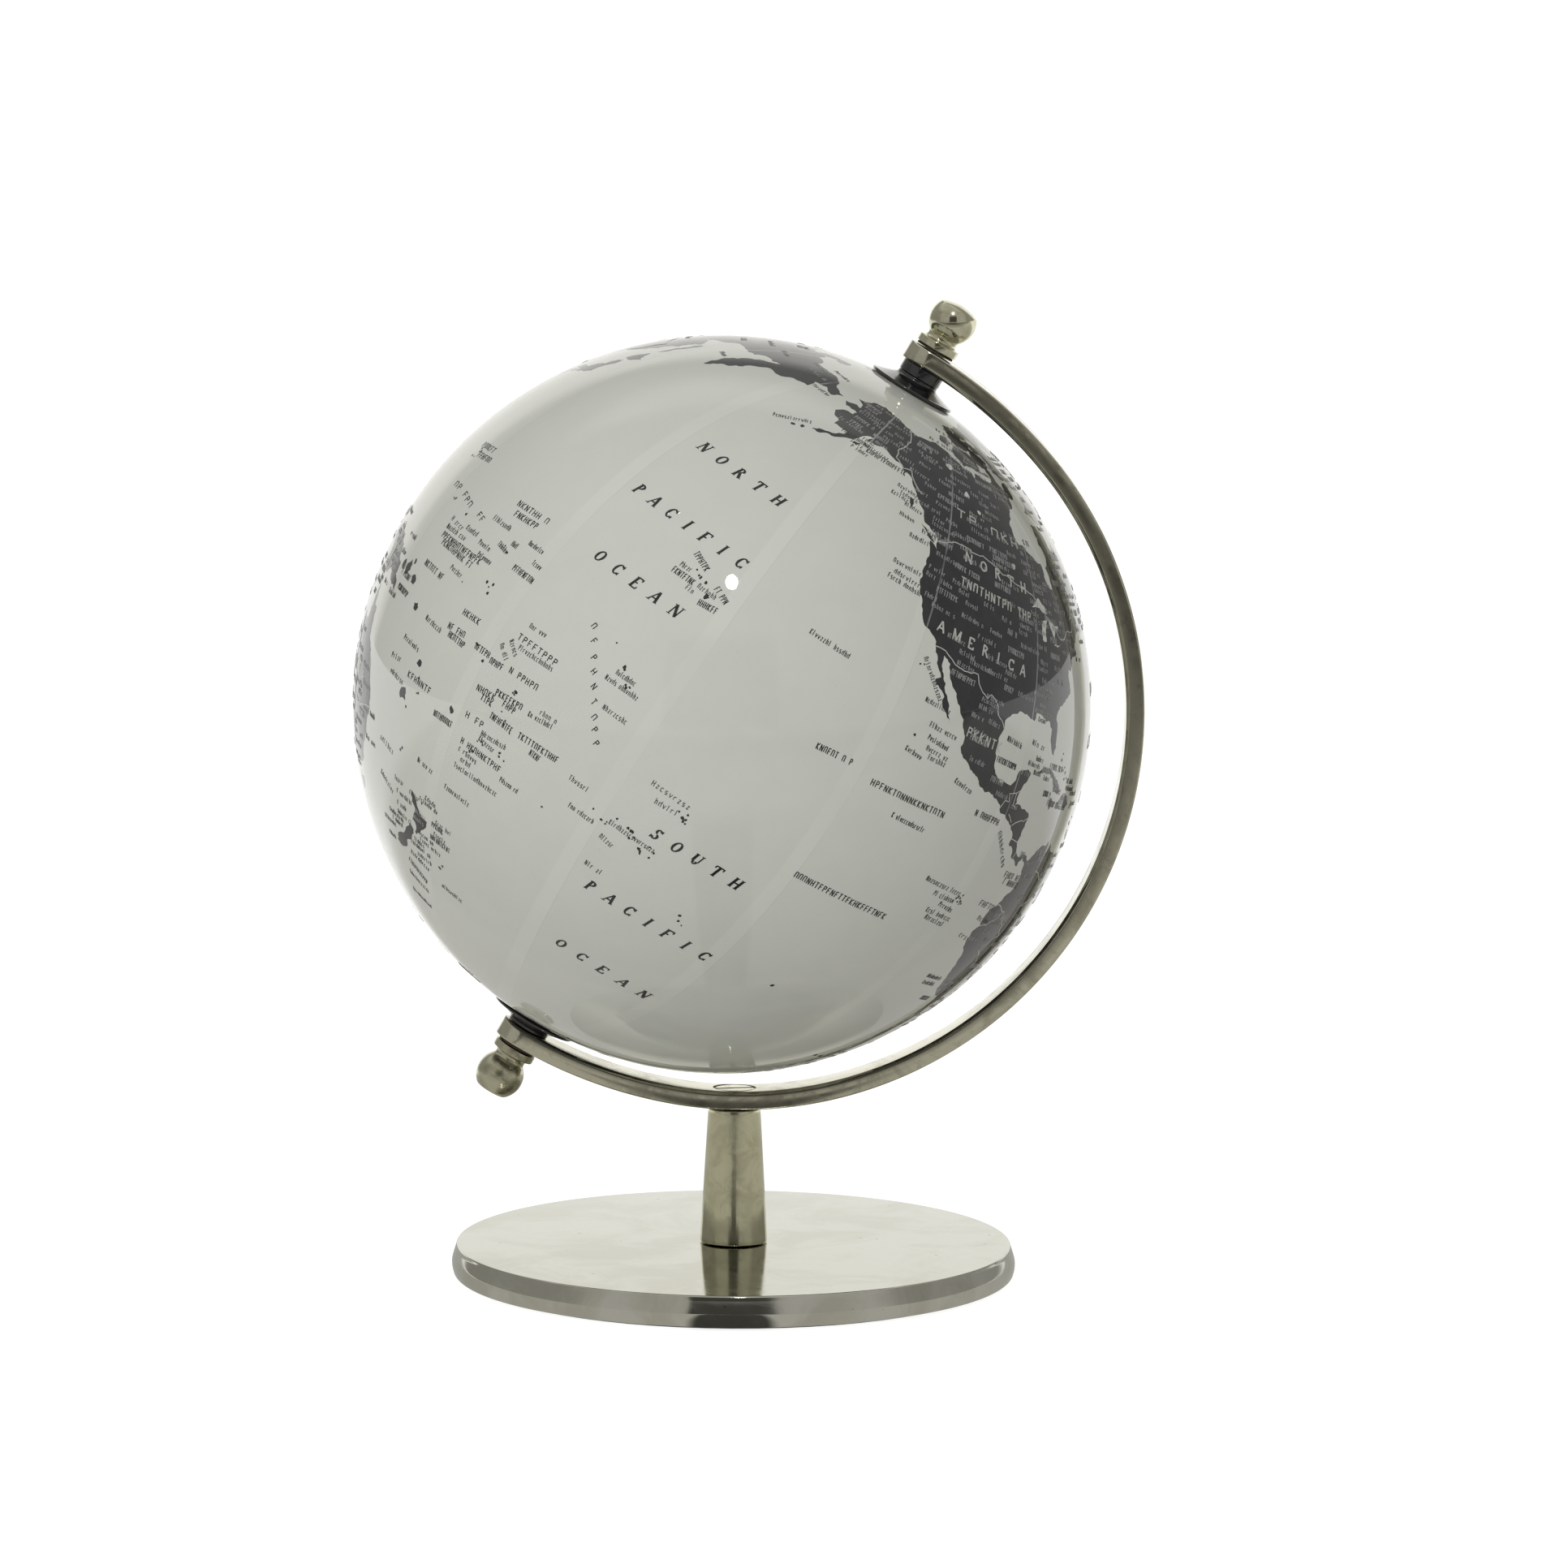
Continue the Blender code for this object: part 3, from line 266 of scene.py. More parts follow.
# Small labels: longitude and latitude of the start and of the end, how many letters, b for bold
LABELS = """166.6 13.1 174.8 13.8 8b, 167.7 11.6 173.7 12.2 7b, 164.5 9.1 169.5 9.4 9, 169.2 6.7 172 6.4 6,
171.6 8 173.2 8 4, 174.4 9.7 177.9 9.9 9, 177.4 7.8 179.5 7.8 5, 174.9 5.3 179.8 5.4 10b, 155.9 1.7 168.7
2.5 16b, 157.2 .9 167.5 1.2 13b, 165.4 4.9 168.7 5 6, 166.9 3.4 170.7 3.6 8, 160.6 5.2 164.2 5.4 6, 155.3
4.6 160.2 4.5 6, 155.6 3.2 162.3 3.7 10, 163.2 -.9 166.9 -.9 7, 156.1 -3.3 163 -3.2 9b, 171.3 -4.8 175.7
-4.5 5b, -176.1 .1 -172.6 .4 7, -176.9 -2.3 -168.4 -2.1 8b, -175.7 -3.5 -168.6 -3.1 15, -177.8 -3.3 -175.5
-4.9 6, -179 -4.7 -176.6 -6.4 6, 169.8 -8 175 -7.5 7b, 170.7 -9 175.1 -8.9 7b, 177 -7.7 180.5 -7.5 6b,
-179.1 -8 -176.2 -7.7 5b, -175.1 -7.2 -169.1 -6.9 7b, 165 -18.6 172.4 -18.3 7b, -179 -12.6 -174.8 -12.2 5b,
-175.4 -11.3 -169.8 -10.8 8b, -174 -12.1 -170.6 -12 5b, -177.5 -13.4 -174.9 -13.3 4b, -168 -9.6 -163.6 -9.2
8, -168.5 -10.8 -163.8 -10.3 11, -158.8 -3.1 -154.3 -3.1 9, -160 2.3 -156 2.4 10, -161 .8 -154.9 .8 14,
-162.2 24 -158.1 22.5 8b, -162.2 21.1 -159.5 21.2 6, -162.7 19.7 -158.3 19.7 8b, -157.7 19.9 -154 19.8 7,
-159.1 18.7 -156.9 18.6 4, -155.3 21.1 -151.9 19.8 7b, -156 17.8 -152.5 18.1 6b, 144.4 15.4 152.3 16.3 8b,
146.4 13.9 152.1 14.6 6b, 147.9 8.3 151.4 8.5 2b, 153 8.4 157.9 7.7 3b, 158 8.2 163.1 7.4 4b, 163.9 -9.4
168.9 -9.5 9, 160.3 -14.3 165.7 -14.3 9, 158.3 -18.1 162 -17.6 5, 158.8 -20.2 164.4 -20.4 9, 174.5 -20.6
179.4 -20.3 9b, 173.5 -29.1 178 -29.2 9, 177.2 -34.1 180.5 -34.2 5, -178.4 -29.7 -172 -29.7 12, -178.9 -17.2
-173.5 -16.9 5b, -174.5 -14.8 -169.6 -14.8 9b, -177.9 -21.2 -168.5 -21.2 12b, -177.3 -23.8 -174.2 -23.8 5,
-178.3 -22.4 -173.3 -22.6 9, -177.6 -25.3 -166.9 -24.9 20, -174.6 -18 -169.3 -17.5 12, -174.7 -18.9 -170.6
-19.2 9, -168.4 -14.6 -160.4 -14.2 12b, -165.4 -15.7 -163.2 -15.8 5b, -168.1 -22.3 -164.2 -22.3 9, -157.7
-15.1 -153.9 -15.2 7, -155.6 -18.9 -150.7 -19 11, -148.9 -20.2 -146.1 -20.6 6, -148.7 -17.4 -140.2 -17.5 18,
-148.7 -25.5 -145.2 -25.6 6, -146.4 -8.4 -139.3 -8.6 9, -145.2 -10.6 -140.3 -10.4 7, 172.4 -46.4 179.4 -47.2
10, 170.6 -48.6 177.6 -50.6 12b, 169.7 -51.4 177.9 -52.6 12, -176.8 -48.1 -169.4 -48.3 11, 168.5 -55.4 177.1
-56.3 12, 159 -31 166.6 -31.7 9, 160.7 -36.5 166.2 -38.2 9, -149.3 57.3 -136.1 57.5 14b, -127.2 48.8 -123.2
49.1 6, -129.8 46.9 -124.5 47.1 8, -131.1 41.2 -124.2 41.4 10, -130.8 39.6 -123.8 39.5 10, -131 38.4 -122.9
38.3 13, -118.6 29.8 -112.8 24.8 15, -112.9 20.9 -106.9 20.9 11, -112.3 19.1 -107.8 18.8 10, -111.8 17.5
-107 17.4 9, -115.3 16 -111.8 15.7 7, -110.8 16.4 -107 16.5 7, -117.9 8.9 -102.9 9.6 18b, -111.9 6.2 -105.1
6.3 16, -104.1 15.2 -99.8 14.6 8, -97.2 12.1 -90.8 12.1 9b, -99.7 .1 -90.7 -.1 16, -96.5 -1.5 -91.2 -1.5 10,
-94 -2.7 -90.2 -3 7, -95.7 -4.3 -89.1 -4.4 12, -94.9 -5.4 -89.8 -5.6 9, -84.9 -.3 -78 -.6 7b, -82.7 5.2 -77
5.1 7b, -82.1 4.1 -76.1 3.9 7b, -90 11.1 -84.4 6.2 9, -128.5 9.4 -122 9.9 10b, -120.1 -9 -101.8 -8.3 24b,
-95.8 24.5 -91.4 24.2 7, -88.6 25.6 -84 25.3 6, -82.6 -2.6 -78.5 -2.7 5, -85 -5.9 -80.3 -6.5 5, -138.6 23.7
-130.2 23.5 16, -173.7 51.8 -165.5 55.5 14"""

# Names: word, longitude and latitude of its first letter's middle, degrees of longitude between letters
SEA_NAMES = (("NORTH", -175.6, 39.1, 4.75), ("PACIFIC", -177.1, 27.0, 3.8), ("OCEAN", -173.6, 15.2, 3.9),
             ("SOUTH", -141.4, -14.5, 3.65), ("PACIFIC", -145.6, -28.2, 3.85), ("OCEAN", -144.7, -41.7, 5.0),
             ("NORTH", -56.0, 36.0, 4.75), ("ATLANTIC", -58.0, 28.0, 3.8), ("OCEAN", -54.0, 19.0, 3.9),
             ("SOUTH", -28.0, -14.0, 3.65), ("ATLANTIC", -30.0, -25.0, 3.85), ("OCEAN", -24.0, -37.0, 5.0),
             ("INDIAN", 68.0, -16.0, 3.8), ("OCEAN", 72.0, -28.0, 4.2))
SPACED = """-167.6 5.9 -166.2 4.1 -164.7 2.1 -163.5 .4 -162.2 -1.4 -160.9 -3.3 -159.6 -5.2 -158.5 -6.7
-157.2 -8.3"""
LAND_NAMES = (("NORTH", -113.5, 49.3, 4.75), ("AMERICA", -117.0, 35.8, 3.7), ("SOUTH", -66.0, -2.0, 3.4),
              ("AMERICA", -67.0, -12.0, 3.3), ("AFRICA", 8.0, 14.0, 5.0), ("EUROPE", 20.0, 52.0, 5.4),
              ("ASIA", 82.0, 46.0, 9.0), ("AUSTRALIA", 118.0, -25.0, 3.6), ("ANTARCTICA", 30.0, -76.0, 12.0))
SEA_LETTER = 3.3 * MM               # height of the capitals
LAND_LETTER = 3.1 * MM
SEA_PENS, LAND_PENS = (0.22, 0.11), (0.16, 0.14)        # thick and thin strokes, as shares of the height
SLANT = 0.28                        # lean of the sea names
LABEL_HEIGHT, LABEL_PEN, LABEL_WIDTH = 1.05 * MM, 0.17 * MM, 0.7        # the width is a share of the pitch
BOLD_HEIGHT, BOLD_PEN, BOLD_WIDTH = 1.25 * MM, 0.24 * MM, 0.78
WORD_GAPS = 0.07                    # share of the letters that are left out
SEA_SCATTER, LAND_SCATTER = 150, 640                    # labels strewn by chance
SCATTER_PITCH, SCATTER_SIZE, SCATTER_BOLD = 0.46, 0.92, 0.18
SCATTER_CLEAR = 0.016               # radians between one label and the next
SCATTER_POLE = 76                   # degrees of latitude, past which there are none
LETTERED_LANDS = 20                 # outlines of LAND, from the first, that have small labels
MAIN_LAND_SHARE = 8                 # how many more chances the first of them gets
BORDER_WIDTH = 0.26 * MM
BORDER_STEP, BORDER_ROUGH = 0.018, 0.12       # radians between points, and how far they stray
# Bold lettering over the larger countries: longitude and latitude of its start, longitude of its end, how
# many letters, and their size against the other bold labels
COUNTRIES = ((-118.4, 56, -92.6, 6, 1.6), (-115, 44, -92, 13, 1.5), (-105.4, 22.3, -96.4, 6, 1.5),
             (-60, -10.5, -42, 6, 1.5), (62, 62, 112, 9, 1.7), (84, 34.5, 110, 7, 1.5), (72, 24, 84, 6, 1.4))

# Letters on a unit square: L x0 y0 x1 y1 weight is a line, A cx cy rx ry from to is an arc in degrees
LETTERS = {
    "A": "L .42 1 .06 0 t|L .42 1 .76 0 T|L .2 .34 .62 .34 t|S .06 0|S .76 0",
    "C": "A .44 .5 .38 .5 48 312|L .72 .98 .72 .7 t|L .72 .02 .72 .26 t",
    "D": "L .2 0 .2 1 T|A .3 .5 .44 .5 -90 90|L .2 .97 .34 .97 t|L .2 .03 .34 .03 t|S .2 0|S .2 1",
    "E": "L .2 0 .2 1 T|L .2 .97 .68 .97 t|L .2 .5 .52 .5 t|L .2 .03 .72 .03 t|L .68 1 .68 .78 t"
         "|L .72 0 .72 .24 t|S .2 0|S .2 1",
    "F": "L .2 0 .2 1 T|L .2 .97 .7 .97 t|L .2 .5 .52 .5 t|L .7 1 .7 .76 t|S .2 0|S .2 1",
    "H": "L .18 0 .18 1 T|L .72 0 .72 1 T|L .18 .5 .72 .5 t|S .18 0|S .18 1|S .72 0|S .72 1",
    "I": "L .4 0 .4 1 T|S .4 0|S .4 1",
    "L": "L .2 0 .2 1 T|L .2 .03 .7 .03 t|L .7 0 .7 .26 t|S .2 0|S .2 1",
    "N": "L .14 0 .14 1 t|L .14 1 .74 0 T|L .74 0 .74 1 t|S .14 0|S .14 1|S .74 1",
    "O": "A .44 .5 .4 .5 0 190|A .44 .5 .4 .5 170 370",
    "P": "L .2 0 .2 1 T|A .34 .74 .32 .26 -90 90|L .2 .97 .36 .97 t|L .2 .48 .36 .48 t|S .2 0|S .2 1",
    "R": "L .2 0 .2 1 T|A .34 .74 .32 .26 -90 90|L .2 .97 .36 .97 t|L .2 .48 .36 .48 t|L .42 .5 .76 0 T"
         "|S .2 0|S .2 1|S .78 0",
    "S": "A .42 .76 .27 .24 10 270|A .42 .26 .3 .26 -170 90|L .68 .98 .68 .74 t|L .12 .02 .12 .28 t",
    "T": "L .42 0 .42 1 T|L .06 .97 .78 .97 t|L .06 1 .06 .76 t|L .78 1 .78 .76 t|S .42 0",
    "U": "L .18 .3 .18 1 T|A .44 .3 .26 .3 180 360|L .7 .3 .7 1 t|S .18 1|S .7 1",
    "M": "L .1 0 .1 1 t|L .1 1 .44 .06 T|L .44 .06 .8 1 t|L .8 0 .8 1 T|S .1 0|S .1 1|S .8 0|S .8 1",
}
# Strokes of the small lettering, which stands for place names but spells none
MARKS, CAPITALS = ([[line.split() for line in mark.split(",")] for mark in marks.split("|")] for marks in (
    """.3 0 .3 1.5|.12 0 .12 1,.8 0 .8 .9,.12 .95 .8 .95|.2 .96 .8 .96,.8 .96 .2 .04,.2 .04 .8 .04
|.85 0 .85 1.5,.12 .05 .12 .95,.12 .96 .85 .96|.15 .05 .15 .95,.15 .96 .82 .96,.15 .04 .82 .04
|.08 1 .5 0,.5 0 .92 1|.2 .96 .8 .96,.2 .96 .2 .52,.2 .5 .8 .5,.8 .5 .8 .05,.8 .04 .2 .04
|.2 0 .2 1.5,.2 .96 .8 .96,.8 0 .8 .96|.15 0 .15 1,.15 .85 .75 .96""",
    """.15 0 .15 1.4,.85 0 .85 1.4,.15 .7 .85 .7|.15 0 .15 1.4,.85 1.4 .2 .7,.2 .7 .85 0
|.2 0 .2 1.4,.2 1.36 .85 1.36,.2 .72 .7 .72|.5 0 .5 1.4,.1 1.36 .9 1.36
|.15 0 .15 1.4,.15 1.4 .85 0,.85 0 .85 1.4|.2 0 .2 1.4,.2 1.36 .8 1.3,.8 1.3 .8 .75,.2 .72 .8 .72
|.15 .1 .15 1.3,.85 .1 .85 1.3,.15 1.36 .85 1.36"""))

# ---- sphere geometry ------------------------------------------------------------------------------------

COAST_STEP = 0.013                  # longest edge of a coast, in radians
COAST_ROUGH = 0.17
GRID_STEP = 3.0                     # degrees between the skin's points away from the coasts
GRID_CLEAR = 0.012                  # grid points nearer than this to a coast are left out
HOLE_SIDES = 48

TO_AXLE = np.array([SIDEWAYS, ACROSS, AXIS])            # rows: world direction to axle frame
MAP_ROWS = np.array([MAP_X, MAP_Y, MAP_NORTH])


def on_map(lon, lat):
    """Unit vectors in the axle's frame for points of the printed map, in degrees."""
    phi = np.radians(np.asarray(lon, float) - MAP_MERIDIAN - 90.0)
    beta = np.radians(np.asarray(lat, float))
    local = np.stack([np.cos(phi) * np.cos(beta), np.sin(phi) * np.cos(beta), np.sin(beta)], -1)
    return local @ MAP_ROWS @ TO_AXLE.T


def to_frame(points, radius):
    """Axle-frame unit vectors at a radius from the ball's middle, in the part's frame."""
    return np.array(BALL_MIDDLE) + (points * np.asarray(radius)[..., None]) @ TO_AXLE


def unit(v):
    return v / np.linalg.norm(v, axis=-1, keepdims=True)


def circle(count):
    return 2 * math.pi * np.arange(count) / count


def numbers(text):
    return np.array(text.split(), float)


def refined(points, longest, rough, draws, closed=True):
    """A line on the sphere with its edges broken up as a coast is, by midpoint displacement."""
    out = []
    for a, b in zip(points, np.roll(points, -1, 0) if closed else points[1:]):
        line = [a, b]
        while np.linalg.norm(line[1] - line[0]) > longest:
            new = []
            for p, q in zip(line, line[1:]):
                span = np.linalg.norm(q - p)
                side = np.cross(p, q - p)
                side /= np.linalg.norm(side)
                new += [p, unit((p + q) / 2 + side * span * rough * draws.uniform(-1, 1))]
            line = new + [line[-1]]
        out += line[:-1]
    if not closed:
        out.append(points[-1])
    return np.array(out)


def blob(lon, lat, size, draws, corners=9):
    """A small island's outline round a point, in degrees."""
    angles = [2 * math.pi * (i + draws.uniform(-0.25, 0.25)) / corners for i in range(corners)]
    sizes = [size * draws.uniform(0.6, 1.25) for _ in angles]
    lats = [lat + s * math.sin(a) for a, s in zip(angles, sizes)]
    lons = [lon + s * math.cos(a) / math.cos(math.radians(lat)) for a, s in zip(angles, sizes)]
    return on_map(lons, lats)


def coast(points, draws):
    return refined(points, COAST_STEP, COAST_ROUGH, draws)


def all_outlines():
    """Coasts and lake shores as closed lines of unit vectors, each with True for land."""
    draws = random.Random(SEED)
    found = []
    for table, is_land in ((LAND, True), (LAKES, False)):
        for text in table.values():
            pairs = numbers(text).reshape(-1, 2)
            found.append((coast(on_map(*pairs.T), draws), is_land))
    for text, is_land in ((LAND_BLOBS, True), (LAKE_BLOBS, False)):
        for lon, lat, size in numbers(text).reshape(-1, 3):
            found.append((coast(blob(lon, lat, size, draws), draws), is_land))
    return found


def flat(points, side):
    """Stereographic projection of one half of the ball; side is 1 north or -1 south."""
    return points[:, :2] / (1 + side * points[:, 2:3])


def unflat(points, side):
    square = (points ** 2).sum(1, keepdims=True)
    return np.hstack([2 * points, side * (1 - square)]) / (1 + square)


def inside(outline, points):
    """Which of the 2-D points lie inside the closed outline."""
    hit = np.zeros(len(points), bool)
    near = np.flatnonzero(((points >= outline.min(0)) & (points <= outline.max(0))).all(1))
    x0, y0 = outline.T
    x1, y1 = np.roll(outline, -1, 0).T
    rise = np.where(y1 == y0, 1.0, y1 - y0)
    for start in range(0, len(near), 2000):
        some = near[start:start + 2000]
        x, y = points[some, :1], points[some, 1:]
        crosses = ((y0 > y) != (y1 > y)) & (x < x0 + (y - y0) * (x1 - x0) / rise)
        hit[some] = crosses.sum(1) % 2 == 1
    return hit


def with_equator(outline):
    """The outline with a point wherever it crosses the axle's equator."""
    out = []
    for a, b in zip(outline, np.roll(outline, -1, 0)):
        out.append(a)
        if a[2] * b[2] < 0:
            middle = a + (b - a) * a[2] / (a[2] - b[2])
            middle[2] = 0.0
            out.append(unit(middle))
    return np.array(out)


def half_skin(outlines, ring, side):
    """Triangles of one half of the map: unit vectors, index triples, and True where land."""
    hole = POLE_HOLE / SKIN
    hole_z = math.sqrt(1 - hole * hole)
    turn = circle(HOLE_SIDES)
    hole_ring = np.stack([hole * np.cos(turn), hole * np.sin(turn), np.full(HOLE_SIDES, side * hole_z)], 1)
    points, edges = [], []

    def add_ring(line):
        first = sum(map(len, points))
        points.append(line)
        edges.extend((first + i, first + (i + 1) % len(line)) for i in range(len(line)))

    add_ring(ring)
    add_ring(hole_ring)
    shores = []
    for outline, _ in outlines:
        keep = outline[:, 2] * side >= 0
        first = sum(map(len, points))
        index = np.cumsum(keep) - 1 + first
        points.append(outline[keep])
        shores.append(outline[keep])
        following = np.roll(np.arange(len(outline)), -1)
        edges.extend((int(index[i]), int(index[j])) for i, j in enumerate(following) if keep[i] and keep[j])
    shores = np.vstack(shores)
    for lat in np.arange(GRID_STEP, 90 - math.degrees(math.asin(hole)) - 0.4 * GRID_STEP, GRID_STEP):
        count = max(HOLE_SIDES // 2, round(360 / GRID_STEP * math.cos(math.radians(lat))))
        phi = 2 * math.pi * (np.arange(count) + 0.5 * (round(lat / GRID_STEP) % 2)) / count
        height = math.tan(math.radians(side * lat))
        row = unit(np.stack([np.cos(phi), np.sin(phi), np.full(count, height)], 1))
        points.append(row[[np.max(shores @ p) < math.cos(GRID_CLEAR) for p in row]])
    projected = flat(np.vstack(points), side)
    result = delaunay_2d_cdt([Vector(p) for p in projected], edges, [], 0, 1e-7)
    verts = np.array([tuple(v) for v in result[0]])
    faces = np.array([f for f in result[2] if len(f) == 3])
    middles = verts[faces].mean(1)
    hole_flat = np.linalg.norm(flat(hole_ring, side)[0]) * math.cos(math.pi / HOLE_SIDES)
    away = np.linalg.norm(middles, axis=1) > hole_flat
    faces, middles = faces[away], middles[away]
    land = np.zeros(len(faces), bool)
    for outline, is_land in outlines:
        if (outline[:, 2] * side > 0).any():
            land[inside(flat(outline, side), middles)] = is_land
    if side < 0:
        faces = faces[:, ::-1]
    return unflat(verts, side), faces, land


def place(name, mesh, materials=()):
    """A scene object with this mesh."""
    for material in materials:
        mesh.materials.append(material)
    thing = bpy.data.objects.new(name, mesh)
    bpy.context.scene.collection.objects.link(thing)
    return thing


def make_piece(name, mesh, body, materials, nodes=()):
    """A smooth piece that rides on a body and takes the place of CAD nodes."""
    mesh.shade_smooth()
    thing = place(name, mesh, materials)
    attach(thing, body)
    if nodes:
        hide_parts(*nodes)
    return thing


def mesh_from(name, points, faces):
    mesh = bpy.data.meshes.new(name)
    mesh.from_pydata([tuple(p) for p in points], [], [tuple(int(i) for i in f) for f in faces])
    return mesh


def mesh_of(name, bm):
    """A mesh from a bmesh, which is freed."""
    mesh = bpy.data.meshes.new(name)
    bm.to_mesh(mesh)
    bm.free()
    return mesh


def set_radial_normals(thing, inward_below=None):
    """Shading normals straight out from the ball's middle, so that the gloss is that of a true sphere."""
    mesh = thing.data
    co = np.zeros(len(mesh.vertices) * 3)
    mesh.vertices.foreach_get("co", co)
    out = co.reshape(-1, 3) - np.array(BALL_MIDDLE)
    radius = np.linalg.norm(out, axis=1, keepdims=True)
    out /= radius
    if inward_below is not None:
        out = np.where(radius < inward_below, -out, out)
    mesh.normals_split_custom_set_from_vertices(out.tolist())


def make_globe(sea, land, inside_finish):
    """The closed map ball: printed skin outside, plain wall inside, and a round hole at each pole."""
    outlines = [(with_equator(o), is_land) for o, is_land in all_outlines()]
    crossings = np.vstack([o[np.abs(o[:, 2]) < 1e-9] for o, _ in outlines])
    spare = np.radians(np.arange(-180, 180))
    spare = np.stack([np.cos(spare), np.sin(spare), np.zeros(len(spare))], 1)
    spare = spare[[np.max(crossings @ p) < math.cos(0.002) for p in spare]]
    ring = np.vstack([crossings, spare])
    ring = ring[np.argsort(np.arctan2(ring[:, 1], ring[:, 0]))]
    bm = bmesh.new()
    for side in (1, -1):
        points, faces, is_land = half_skin(outlines, ring, side)
        verts = [bm.verts.new(p) for p in to_frame(points, SKIN)]
        for face, dark in zip(faces, is_land):
            bm.faces.new([verts[i] for i in face]).material_index = int(dark)
    seam = [v for v in bm.verts if abs((v.co - BALL_MIDDLE).dot(AXIS)) < 1e-6]
    bmesh.ops.remove_doubles(bm, verts=seam, dist=2e-6)
    turn = circle(HOLE_SIDES)
    reach = math.acos(POLE_HOLE / SKIN_INSIDE)
    rows = []
    for beta in np.linspace(-reach, reach, 40):
        row = np.stack([np.cos(turn) * math.cos(beta), np.sin(turn) * math.cos(beta),
                        np.full(HOLE_SIDES, math.sin(beta))], 1)
        rows.append([bm.verts.new(p) for p in to_frame(row, SKIN_INSIDE)])
    for low, high in zip(rows, rows[1:]):
        for i in range(HOLE_SIDES):
            j = (i + 1) % HOLE_SIDES
            bm.faces.new((low[i], high[i], high[j], low[j])).material_index = 2
    for lowest in (0.0, -1.0):                          # the north pole's hole, then the one that is left
        bmesh.ops.bridge_loops(bm, edges=[e for e in bm.edges if len(e.link_faces) == 1
                                          and (e.verts[0].co - BALL_MIDDLE).dot(AXIS) > lowest])
    bmesh.ops.triangulate(bm, faces=[f for f in bm.faces if len(f.verts) > 4])
    ball = make_piece("globe_map", mesh_of("globe_map", bm), "globe", (sea, land, inside_finish),
                      ("globe_shell_north", "globe_shell_south"))
    set_radial_normals(ball, (SKIN + SKIN_INSIDE) / 2)


# ---- ink ------------------------------------------------------------------------------------------------

def slab(points, faces):
    """A thin closed slab of ink: tops on the ball's surface, feet just under the skin."""
    count = len(points)
    solid = list(faces) + [[i + count for i in f[::-1]] for f in faces]
    rim = {}
    for f in faces:
        for a, b in zip(f, f[1:] + f[:1]):
            rim[a, b] = rim.get((b, a), 0) == 0
    for a, b in [edge for edge in rim if edge[::-1] not in rim]:
        solid.append([b, a, a + count, b + count])
    tops = to_frame(points, INK_TOP)
    feet = to_frame(points, INK_FOOT)
    return np.vstack([tops, feet]), solid


class Ink:
    """Gathers slabs into one mesh."""

    def __init__(self):
        self.points, self.faces, self.count = [], [], 0

    def add(self, points, faces):
        verts, solid = slab(points, [list(f) for f in faces])
        self.points.append(verts)
        self.faces += [[i + self.count for i in f] for f in solid]
        self.count += len(verts)

    def finish(self, name, material):
        mesh = mesh_from(name, np.vstack(self.points), self.faces)
        set_radial_normals(make_piece(name, mesh, "globe", (material,)))


def local_frame(lon, lat, turn=0.0):
    """A point of the map with its directions right and up along a line of lettering."""
    here = on_map(lon, lat)
    north = unit(on_map(lon, lat + 0.01) - here)
    east = np.cross(north, here)
    c, s = math.cos(turn), math.sin(turn)
    return here, east * c + north * s, north * c - east * s


def on_plane(frame_of, xy):
    """Points given in metres along a lettering frame, as unit vectors."""
    here, right, up = frame_of
    xy = np.asarray(xy) / BALL_RADIUS
    return unit(here + xy[:, :1] * right + xy[:, 1:] * up)


def stroke_outline(x0, y0, x1, y1, width):
    along = np.array([x1 - x0, y1 - y0])
    along = along / max(np.linalg.norm(along), 1e-9)
    side = np.array([-along[1], along[0]]) * width / 2
    a, b = np.array([x0, y0]), np.array([x1, y1])
    return [a - side, b - side, b + side, a + side]


def letter_polygons(letter, thick, thin, serifs):
    """The outlines that make up a capital, on a unit square."""
    found = []
    for part in LETTERS[letter].split("|"):
        kind, *values = part.split()
        if kind == "L":
            weight = thick if values.pop() == "T" else thin
            found.append(stroke_outline(*map(float, values), weight))
        elif kind == "S" and serifs:
            x, y = map(float, values)
            y = 0.025 if y == 0 else 0.975
            found.append(stroke_outline(x - 0.17, y, x + 0.17, y, 0.05))
        elif kind == "A":
            cx, cy, rx, ry, start, end = map(float, values)
            outer, inner = [], []
            steps = max(6, int(abs(end - start) / 14))
            for i in range(steps + 1):
                a = math.radians(start + (end - start) * i / steps)
                weight = thin + (thick - thin) * abs(math.cos(a)) ** 1.5
                outer.append(np.array([cx + rx * math.cos(a), cy + ry * math.sin(a)]))
                inner.append(np.array([cx + (rx - weight) * math.cos(a),
                                       cy + (ry - min(weight, thin * 1.6)) * math.sin(a)]))
            found.append(outer + inner[::-1])
    return found


def joined(polygons):
    """One flat mesh from overlapping outlines."""
    points = [Vector(p) for polygon in polygons for p in polygon]
    faces, first = [], 0
    for polygon in polygons:
        faces.append(list(range(first, first + len(polygon))))
        first += len(polygon)
    result = delaunay_2d_cdt(points, [], faces, 0, 1e-6)
    kept = [list(f) for f, source in zip(result[2], result[5]) if source]
    used = sorted({i for f in kept for i in f})
    place = {old: new for new, old in enumerate(used)}
    return np.array([tuple(result[0][i]) for i in used]), [[place[i] for i in f] for f in kept]


